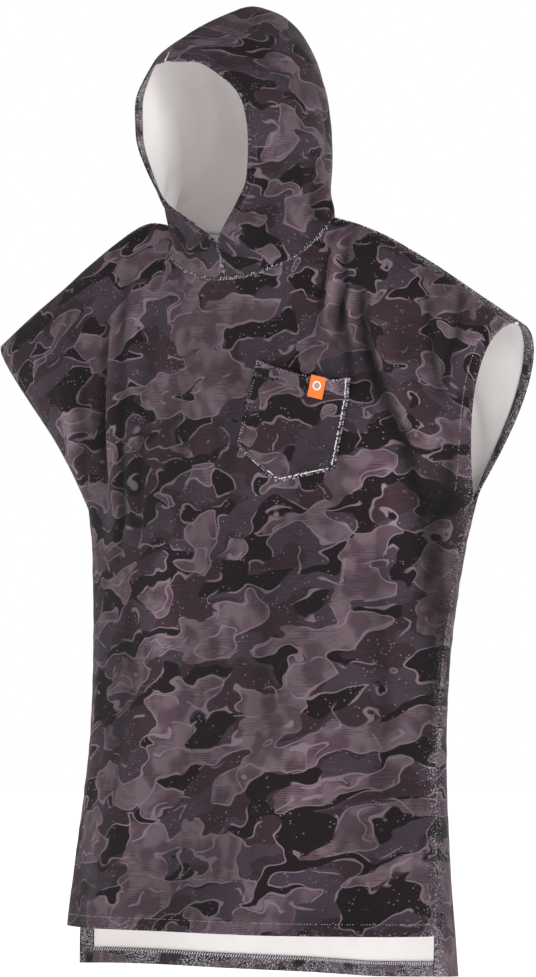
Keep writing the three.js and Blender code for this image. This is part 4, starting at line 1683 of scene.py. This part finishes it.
@dataclass
class Hood:
    """The hood's two halves, the turned hem round the face, and its seams.

    Each level of the table gives its face edge, its widest place and its centre back, from the neck seam up.
    """

    needle: Needle
    wardrobe: Wardrobe
    cloth: float = 2.5
    hem_cloth: float = 1.5
    seam_gap: float = 0.3
    hem_width: float = 15
    crown_turn: float = math.pi / 6
    chin_level: float = 1
    crown_level: float = 10
    # Level, edge half width, edge y and z, widest half width, its y and z, back y and z, arch
    levels: Sequence[Sequence[float]] = (
        (0, 0, -68, -90, 152, 0, 0, 50, -15, 0), (1, 0, -86, -38, 143, -2, 26, 66, 12, 0),
        (2, 62, -120, 15, 134, -6, 52, 90, 42, 0), (3, 88, -127, 50, 128, -10, 80, 112, 76, 0),
        (4, 106, -143, 107, 121, -14, 116, 126, 116, 1), (5, 106, -150, 150, 115, -18, 154, 124, 156, 3),
        (6, 98, -158, 180, 109, -22, 189, 119, 199, 5), (7, 76, -169, 206, 98, -27, 225, 107, 240, 9),
        (8, 46, -184, 232, 73, -34, 256, 88, 278, 17), (9, 24, -198, 239, 40, -38, 273, 66, 298, 26),
        (10, 0, -208, 243, 0, -42, 284, 46, 304, 33),
    )
    # The face edge curls down under the crown: how far, and how soon that fades round the hood
    lip_drop: float = 14
    lip_fade: float = 0.05
    lip_from: float = 6
    dents: Sequence[Dent] = (
        Dent((0.2, 3.4), (3.4, 2.4), 0.35, 4.5),
        Dent((0.1, 4.4), (2.6, 3.5), 0.3, -4.5),
        Dent((0.0, 5.6), (2.2, 5.0), 0.35, 3.5),
        Dent((0.1, 2.2), (2.0, 1.4), 0.3, -3),
        Dent((2.6, 4.6), (6.4, 4.0), 0.5, -3),
        Dent((4.2, 5.8), (7.6, 4.4), 0.5, 3),
        Dent((5.4, 2.2), (8.2, 1.8), 0.45, -2.5),
        Dent((3.2, 7.4), (7.2, 7.9), 0.6, -3.5),
        Dent((0.3, 7.6), (2.4, 8.4), 0.45, 3.5),
    )
    # How much darker its pile looks, which lies across the light
    nap: float = 0.14
    level_steps: int = 110
    round_steps: int = 84
    # How much closer its columns lie towards the face edge
    crowding: float = 1.08
    hem_rows: int = 76
    hem_columns: int = 7

    def row(self, column: int, level: np.ndarray) -> np.ndarray:
        """A column of the table at levels."""
        return read_table(self.levels, column, level)

    def shares(self) -> np.ndarray:
        """Each column's share of the way round."""
        return np.linspace(0, 1, self.round_steps + 1) ** self.crowding

    def start_turn(self, level: np.ndarray) -> np.ndarray:
        """Where the face edge lies round the hood."""
        half, edge = self.row(4, level), np.maximum(self.row(1, level), 0)
        return np.where(half > 1, np.arcsin(np.clip(edge / np.maximum(half, 1), 0, 1)), self.crown_turn)

    def place(self, hand: int, level: np.ndarray, share: np.ndarray) -> np.ndarray:
        """Points of a half's outer face.

        Args:
            hand: LEFT or RIGHT.
            level: Level of the table, from 0 at the neck to 10 at the crown.
            share: How far round, from 0 at the face edge to 1 at the centre back.

        Returns:
            The points, in millimetres.
        """
        start = self.start_turn(level)
        turn = mix(start, np.pi, share)
        ahead = turn < np.pi / 2
        amount = np.where(ahead, np.cos(turn) / np.cos(start), -np.cos(turn))
        side_y, side_z = self.row(5, level), self.row(6, level)
        y = mix(side_y, np.where(ahead, self.row(2, level), self.row(7, level)), amount)
        z = mix(side_z, np.where(ahead, self.row(3, level), self.row(8, level)), amount)
        curl = self.lip_drop * np.exp(-share / self.lip_fade) * smoothstep(level, self.lip_from, self.crown_level)
        z = z + self.row(9, level) * np.sin(np.pi * share) + self.seam_gap - curl
        x = hand * np.maximum(self.row(4, level) * np.sin(turn), self.seam_gap / 2)
        return np.stack([x, y, z], -1)

    def hem_share(self, level: np.ndarray) -> np.ndarray:
        """The share of the way round that the face hem takes.

        Args:
            level: Level of the table.

        Returns:
            The share, from the face edge.
        """
        start = self.start_turn(level)
        reach = (self.row(5, level) - self.row(2, level)) / np.cos(start)
        pace = np.hypot(np.hypot(self.row(4, level) * np.cos(start), reach * np.sin(start)), 40)
        return self.hem_width / (pace * (np.pi - start))

    def surface(self, hand: int, levels: np.ndarray, shares: np.ndarray, creased: bool = True) -> Surface:
        """A half's outer face, or part of it.

        Args:
            hand: LEFT or RIGHT.
            levels: Level of each row.
            shares: Shares round, as a row or a whole grid.
            creased: Whether the dents are pressed in.

        Returns:
            The face, whose normals on the centre seams lie in the seams' plane.
        """
        level, share = np.broadcast_arrays(levels[:, None], np.atleast_2d(shares))
        points = self.place(hand, level, share)
        normals = grid_normals(points, (hand, 0, 0))
        seam = np.abs(points[..., 0]) <= self.seam_gap / 2 + 1e-6
        normals[seam, 0] = 0
        normals = unit(normals)
        pushed = np.zeros(share.shape)
        if creased:
            rise = sum(dent.at(level, share) for dent in self.dents) * (1.0 if hand > 0 else 0.8)
            calm = smoothstep(share, 0.02, 0.14) * smoothstep(1 - share, 0, 0.12) * smoothstep(level, 0, 0.7)
            pushed = rise * calm * smoothstep(self.crown_level - level, 0, 0.8)
            points = points + normals * pushed[..., None]
        # The print is level half way up, and each half is cut from its own place in the cloth
        flat = flat_cut(points, points.shape[0] // 2, points.shape[1] // 2) * (hand, 1) + (0.9 * hand, 0.31 * hand)
        edge = np.exp(-((share * 45) ** 1.2)) + 0.8 * np.exp(-(level / 0.1) ** 1.5)
        seams = np.exp(-(np.abs(points[..., 0]) / 4) ** 1.5) * 0.5
        relief = np.clip(pushed / 7 - self.nap, -1, 0.6)
        return Surface(points, normals, flat, np.clip(edge * 0.6 + seams, 0, 1), relief)

    def build(self) -> None:
        """Makes both halves, the hem round the face and the seams."""
        levels = np.linspace(0, self.crown_level, self.level_steps + 1)
        shares = self.shares()
        halves = {}
        for hand, word in ((LEFT, "left"), (RIGHT, "right")):
            outer = self.surface(hand, levels, shares)
            folded = np.zeros(outer.wear.shape)
            folded[levels > self.chin_level, 0] = 1
            half = cloth_shell(
                f"hood_{word}_cloth", outer, self.cloth, (self.wardrobe.printed, self.wardrobe.undyed), folded
            )
            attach(half, "root")
            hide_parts(f"hood_{word}")
            hem = self._hem(hand, word)
            log.info("%s: %d faces", half.name, len(half.data.polygons))
            halves[hand] = outer
        self._seams(halves, levels)

    def _hem(self, hand: int, word: str) -> Any:
        """Makes the printed band that is turned to the inside along the face edge.

        Args:
            hand: LEFT or RIGHT.
            word: The half's name.

        Returns:
            The band's object.
        """
        levels = np.linspace(self.chin_level + 0.5, self.crown_level, self.hem_rows)
        shares = np.linspace(0, 1, self.hem_columns)[None, :] * self.hem_share(levels)[:, None]
        inside = self.surface(hand, levels, shares, creased=False).moved(-self.cloth - self.seam_gap)
        hem = cloth_shell(f"hood_hem_{word}_band", inside, self.hem_cloth, (self.wardrobe.hem,))
        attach(hem, "root")
        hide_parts(f"hood_hem_{word}")
        return hem

    def _seams(self, halves: dict[int, Surface], levels: np.ndarray) -> None:
        """Sews the neck seam, the crown and back seam, and the stitching round the face.

        Args:
            halves: Each half's outer face.
            levels: Level of each row.
        """
        left, right = halves[LEFT], halves[RIGHT]
        last = left.points.shape[1] - 1
        columns = np.arange(last + 1)
        neck = [half.line(np.full(len(columns), 0.35), columns, 0.5) for half in (left, right)]
        self.needle.speckled("neck_seam", neck, self.wardrobe, "printed_terry")
        rows = np.arange(0, len(levels))
        behind = left.line(rows, np.full(len(rows), float(last)), 0.2)
        behind.points[:, 0] = 0
        over = left.line(np.full(len(columns), float(len(levels) - 1)), columns[::-1], 0.2)
        over.points[:, 0] = 0
        centre = behind.joined(over)
        centre.normals[:, 0] = 0
        centre.normals = unit(centre.normals)
        sew = partial(self.needle.sew, slot="printed_terry")
        sew("hood_centre_seam", [centre], Stitch.LOOSE, self.wardrobe.grey)
        rows = np.arange(np.searchsorted(levels, self.chin_level + 0.2), len(levels))
        share = self.hem_share(levels[rows]) * 0.8
        place = np.interp(share, self.shares(), np.arange(self.round_steps + 1))
        face = [half.line(rows, place, 0.1) for half in (left, right)]
        sew("face_hem_stitches", face, Stitch.TOPSTITCH, self.wardrobe.grey)
        low = np.arange(0, np.searchsorted(levels, self.chin_level) + 1)
        chin = left.line(low, np.zeros(len(low)), 0.2)
        chin.points[:, 0] = 0
        sew("chin_seam", [chin], Stitch.LOOSE, self.wardrobe.grey)
        # The neck seam's overlocked edge, seen inside through the opening at the chin
        inner = [replace(half.moved(-self.cloth), normals=-half.normals) for half in (left, right)]
        inside = [half.line(np.full(len(columns), 0.3), columns, 0.6) for half in inner]
        sew("neck_seam_inside", inside, Stitch.OVERLOCK, self.wardrobe.white)
        # An end of thread that hangs over the lip where the crown seam meets the face edge
        lip, ahead = left.points[-1, 0], np.array([0.0, -1.0, -0.1])
        down = np.array([0.0, 0.0, -1.0])
        knots = [left.points[-1, 3] - down * 0.5, lip - down * 0.5, lip + ahead * 1.8 + down * 1.5,
                 lip + ahead * 1.2 + down * 5, lip - ahead * 4 + down * 5.6]
        facing = [-down, -down + ahead, ahead, ahead + down, down]
        end = Path(np.array(knots) * (0, 1, 1), unit(np.array(facing)))
        sew("crown_thread_end", [end], Stitch.HEAVY, self.wardrobe.white)


# ----------------------------------------------
# Pocket and tab
# ----------------------------------------------


@dataclass
class Pocket:
    """The patch pocket and its tab, laid over the front panel. Sizes are in millimetres.

    Attributes:
        front: The front panel's outer face.
        x: The centre of its top edge, across.
        z: The centre of its top edge, in height.
        tilt: How far the cloth's hang turns it, in radians.
        gape: How far its mouth stands open.
        flick: How far its upper corner on the wearer's left turns up and out.
    """

    needle: Needle
    wardrobe: Wardrobe
    front: Surface
    x: float = 151
    z: float = -232
    width: float = 168
    side: float = 130
    point: float = 38
    tilt: float = -0.23
    gape: float = 12
    cloth: float = 2.5
    gap: float = 0.5
    flick: float = 6
    top_hem: float = 20
    # How far the mouth's edge sags between its corners
    mouth_sag: float = 5
    # Its place on the printed cloth
    cut_x: float = 431
    cut_z: float = -210
    steps: int = 56
    label_across: float = 36
    label_width: float = 24
    label_length: float = 33
    label_cloth: float = 1
    _tree: Any = field(init=False)

    def __post_init__(self) -> None:
        """Makes the panel's face ready for pocket points to be laid on it."""
        rows, columns = self.front.points.shape[:2]
        at = np.arange(rows * columns).reshape(rows, columns)
        faces = np.stack([at[:-1, :-1], at[1:, :-1], at[1:, 1:], at[:-1, 1:]], -1).reshape(-1, 4)
        self._tree = BVHTree.FromPolygons(self.front.points.reshape(-1, 3).tolist(), faces.tolist())

    def over_panel(self, across: np.ndarray, down: np.ndarray, out: np.ndarray) -> np.ndarray:
        """Lays points over the front panel.

        Args:
            across: Place across the pocket from its middle.
            down: Place down from its top edge.
            out: How far each lies out from the panel.

        Returns:
            The points.
        """
        cos, sin = math.cos(self.tilt), math.sin(self.tilt)
        x = self.x + across * cos + down * sin
        z = self.z + across * sin - down * cos
        y = np.empty_like(x)
        for at in np.ndindex(x.shape):
            hit = self._tree.ray_cast(Vector((x[at], -1000, z[at])), Vector((0, 1, 0)))
            y[at] = hit[0].y - out[at]
        return np.stack([x, y, z], -1)

    def stand_off(self, across: np.ndarray, down: np.ndarray) -> np.ndarray:
        """How far the pocket stands off the panel: close along its sewn edges, open at its mouth.

        Args:
            across: Place across the pocket from its middle.
            down: Place down from its top edge.

        Returns:
            The distance, in millimetres.
        """
        middle = 1 - (2 * across / self.width) ** 2
        above = np.clip(1 - down / self.side, 0, None)
        return self.gap + self.gape * np.clip(middle, 0, None) * above**1.5

    def build(self) -> None:
        """Makes the pocket, its stitching and its tab."""
        share = np.linspace(-0.5, 0.5, self.steps + 1)
        fall = np.linspace(0, 1, self.steps + 1)
        across, down = np.meshgrid(self.width * share, fall)
        lowest = self.side + self.point * (1 - np.abs(2 * across) / self.width)
        sag = self.mouth_sag * (1 - (2 * across / self.width) ** 2)
        down = sag * (1 - down) + down * lowest
        puffed = 1.1 * np.exp(-(((down - sag - self.top_hem) / 5) ** 2))
        double = 1.2 * smoothstep(self.top_hem - (down - sag), -3, 3)
        corner = np.exp(-((np.hypot(across - self.width / 2, down) / 17) ** 2))
        edge = np.minimum(self.width / 2 - np.abs(across), lowest - down)
        pressed = 0.9 * np.exp(-((edge - 4) ** 2) / 6)
        out = self.stand_off(across, down) + self.cloth + double - 0.6 * puffed - pressed
        points = self.over_panel(across, down, out)
        points[..., 1] -= corner * self.flick * 0.9
        points[..., 2] += corner * self.flick
        points[..., 0] += corner * self.flick * 0.3
        normals = grid_normals(points, (0, -1, 0))
        flat = np.stack([across + self.cut_x, -down + self.cut_z], -1) * MM
        wear = np.clip(
            np.exp(-edge / 5) * np.where((across > 0) | (down > 100), 1.0, 0.6)
            + 0.8 * np.exp(-np.clip(down - sag, 0, None) / 4),
            0,
            1,
        )
        outer = Surface(points, normals, flat, wear, np.clip(-pressed / 2, -1, 0))
        # Thick enough to reach back to the panel's face along the sewn edges
        pocket = cloth_shell(
            "pocket_cloth", outer, self.cloth, (self.wardrobe.printed, self.wardrobe.undyed)
        )
        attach(pocket, "root")
        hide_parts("pocket")
        tab = self._tab()
        self._stitching(outer)
        log.info("%s: %d faces", pocket.name, len(pocket.data.polygons))

    def _stitching(self, outer: Surface) -> None:
        """Sews the pocket down, heavily on the wearer's left and along the point, and its top hem.

        Args:
            outer: The pocket's outer face.
        """
        n = self.steps
        inset = 1.4
        down = np.linspace(0.3, n - inset, 2 * n)
        left = outer.line(down, np.full(len(down), n - inset), 0.2)
        right = outer.line(down, np.full(len(down), inset), 0.1)
        across = np.linspace(n - inset, inset, 2 * n)
        foot = outer.line(np.full(len(across), n - inset), across, 0.2)
        half = len(across) // 2
        heavy = left.joined(Path(foot.points[: half + 14], foot.normals[: half + 14]))
        light = Path(foot.points[half + 13:], foot.normals[half + 13:]).joined(
            Path(right.points[::-1], right.normals[::-1])
        )
        sew = partial(self.needle.sew, slot="printed_terry")
        sew("pocket_stitches_heavy", [heavy], Stitch.HEAVY, self.wardrobe.white)
        sew("pocket_stitches_light", [light], Stitch.TOPSTITCH, self.wardrobe.silver)
        sew("pocket_side_flecks", [heavy], Stitch.FLECK, self.wardrobe.white)
        columns = np.linspace(inset, n - inset, 2 * n)
        fall = self.side + self.point * (1 - np.abs(columns / n - 0.5) * 2) - self.mouth_sag
        rows = self.top_hem / fall * n
        hem = outer.line(rows, columns, 0.1)
        edge = outer.line(np.full(len(columns), 0.9), columns, 0.2)
        sew("pocket_mouth_stitches", [hem], Stitch.TOPSTITCH, self.wardrobe.grey)
        sew("pocket_edge_flecks", [edge], Stitch.FLECK, self.wardrobe.silver)

    def _tab(self) -> Any:
        """Makes the woven tab that is caught in the pocket's top edge.

        Returns:
            The tab's object.
        """
        share = np.linspace(-0.5, 0.5, 17)
        across, down = np.meshgrid(self.label_across + self.label_width * share, np.linspace(1, self.label_length, 21))
        lifted = 1.4 * ((down - 1) / self.label_length) ** 2
        out = self.stand_off(across, down) + self.cloth + 1.4 + self.label_cloth + lifted
        points = self.over_panel(across, down, out)
        normals = grid_normals(points, (0, -1, 0))
        middle = 1 + self.label_length * 0.42
        flat = np.stack([across - self.label_across, -(down - middle)], -1) * MM
        tab = cloth_shell(
            "woven_tab",
            Surface(points, normals, flat, np.zeros(across.shape), np.zeros(across.shape)),
            self.label_cloth,
            (self.wardrobe.tab,),
        )
        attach(tab, "root")
        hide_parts("pocket_label")
        log.info("%s: %d faces", tab.name, len(tab.data.polygons))
        return tab


# ----------------------------------------------
# Studio
# ----------------------------------------------


@dataclass
class Studio:
    """Camera, soft lights and a white paper floor.

    Attributes:
        azimuth: The camera's place round the poncho from the front, towards the wearer's left, in degrees.
        distance: How far it stands from the neck's axis, in metres.
        height: Its height.
        beside: How far the view's centre lies to the right of the axis.
        aim: The height of the view's centre.
        lens: Its focal length, in millimetres.
        floor: The floor's height.
        sky_light: How much light the white surround gives, as a share of how bright it looks.
        lit_height: The height that the lamps face.
    """

    azimuth: float = 38.0
    distance: float = 10.0
    height: float = -0.748
    beside: float = 0.023
    aim: float = -0.4005
    lens: float = 245.6
    floor: float = -1.5
    sky_light: float = 0.56
    lit_height: float = -0.45

    def build(self) -> None:
        """Makes the camera, the lights, the floor and the sky."""
        turn = math.radians(self.azimuth)
        place = Vector((math.sin(turn) * self.distance, -math.cos(turn) * self.distance, self.height))
        target = Vector((math.cos(turn) * self.beside, math.sin(turn) * self.beside, self.aim))
        camera = bpy.data.objects.new("camera", bpy.data.cameras.new("camera"))
        camera.data.lens = self.lens
        camera.data.clip_end = 100
        camera.location = place
        camera.rotation_euler = (target - place).to_track_quat("-Z", "Y").to_euler()
        bpy.context.scene.collection.objects.link(camera)
        bpy.context.scene.camera = camera
        self._lamp("key", azimuth=66, height=0.4, away=4.0, size=1.0, power=86)
        self._lamp("fill", azimuth=-40, height=-0.3, away=4.6, size=1.2, power=40)
        self._lamp("back", azimuth=186, height=1.2, away=4.0, size=1.8, power=55)
        self._sky()
        self._floor()
        # Colours as a catalogue picture shows them, with white paper white
        bpy.context.scene.view_settings.view_transform = "Standard"

    def _lamp(self, name: str, azimuth: float, height: float, away: float, size: float, power: float) -> None:
        """Makes a soft square lamp that faces the poncho's middle.

        Args:
            name: The lamp's name.
            azimuth: Its place round the poncho from the front, towards the wearer's left, in degrees.
            height: Its height.
            away: How far it stands from the neck's axis.
            size: The length of its side.
            power: Its power, in watts.
        """
        turn = math.radians(azimuth)
        light = bpy.data.lights.new(name, "AREA")
        light.size = size
        light.energy = power
        lamp = bpy.data.objects.new(name, light)
        lamp.location = (math.sin(turn) * away, -math.cos(turn) * away, height)
        aim = Vector((0, 0, self.lit_height)) - lamp.location
        lamp.rotation_euler = aim.to_track_quat("-Z", "Y").to_euler()
        bpy.context.scene.collection.objects.link(lamp)

    def _sky(self) -> None:
        """Makes an even white surround, which lights the poncho less than it shines in the picture."""
        world = bpy.data.worlds.new("studio")
        world.use_nodes = True
        world.node_tree.nodes.clear()
        tree = world.node_tree
        seen = add_node(tree, "ShaderNodeLightPath", (), "Is Camera Ray")
        strength = add_node(tree, MAP_RANGE, {"Value": seen, "To Min": self.sky_light, "To Max": 1.0})
        sky = add_node(tree, "ShaderNodeBackground", {"Color": (1, 1, 1, 1), "Strength": strength})
        add_node(tree, "ShaderNodeOutputWorld", {"Surface": sky})
        bpy.context.scene.world = world

    def _floor(self) -> None:
        """Makes the paper floor, a disc below the poncho."""
        points, faces = [(0.0, 0.0)], []
        steps, reach = 64, 60000
        for k in range(steps):
            turn = 2 * math.pi * k / steps
            points.append((reach * math.cos(turn), reach * math.sin(turn)))
            faces.append((0, k + 1, (k + 1) % steps + 1))
        flat = np.array([(x, y, self.floor * 1000) for x, y in points])
        floor = make_piece("paper_floor", flat, np.array(faces), (PaperBackdrop().make(),))


def main() -> None:
    """Builds the studio and every part of the poncho, and reports each piece."""
    logging.basicConfig(level=logging.INFO, format="%(name)s %(message)s")
    Studio().build()
    wardrobe = Wardrobe()
    needle = Needle()
    body = Body(needle, wardrobe)
    body.build()
    Hood(needle, wardrobe).build()
    Pocket(needle, wardrobe, body.surfaces[FRONT]).build()


if __name__ == "__main__":
    main()
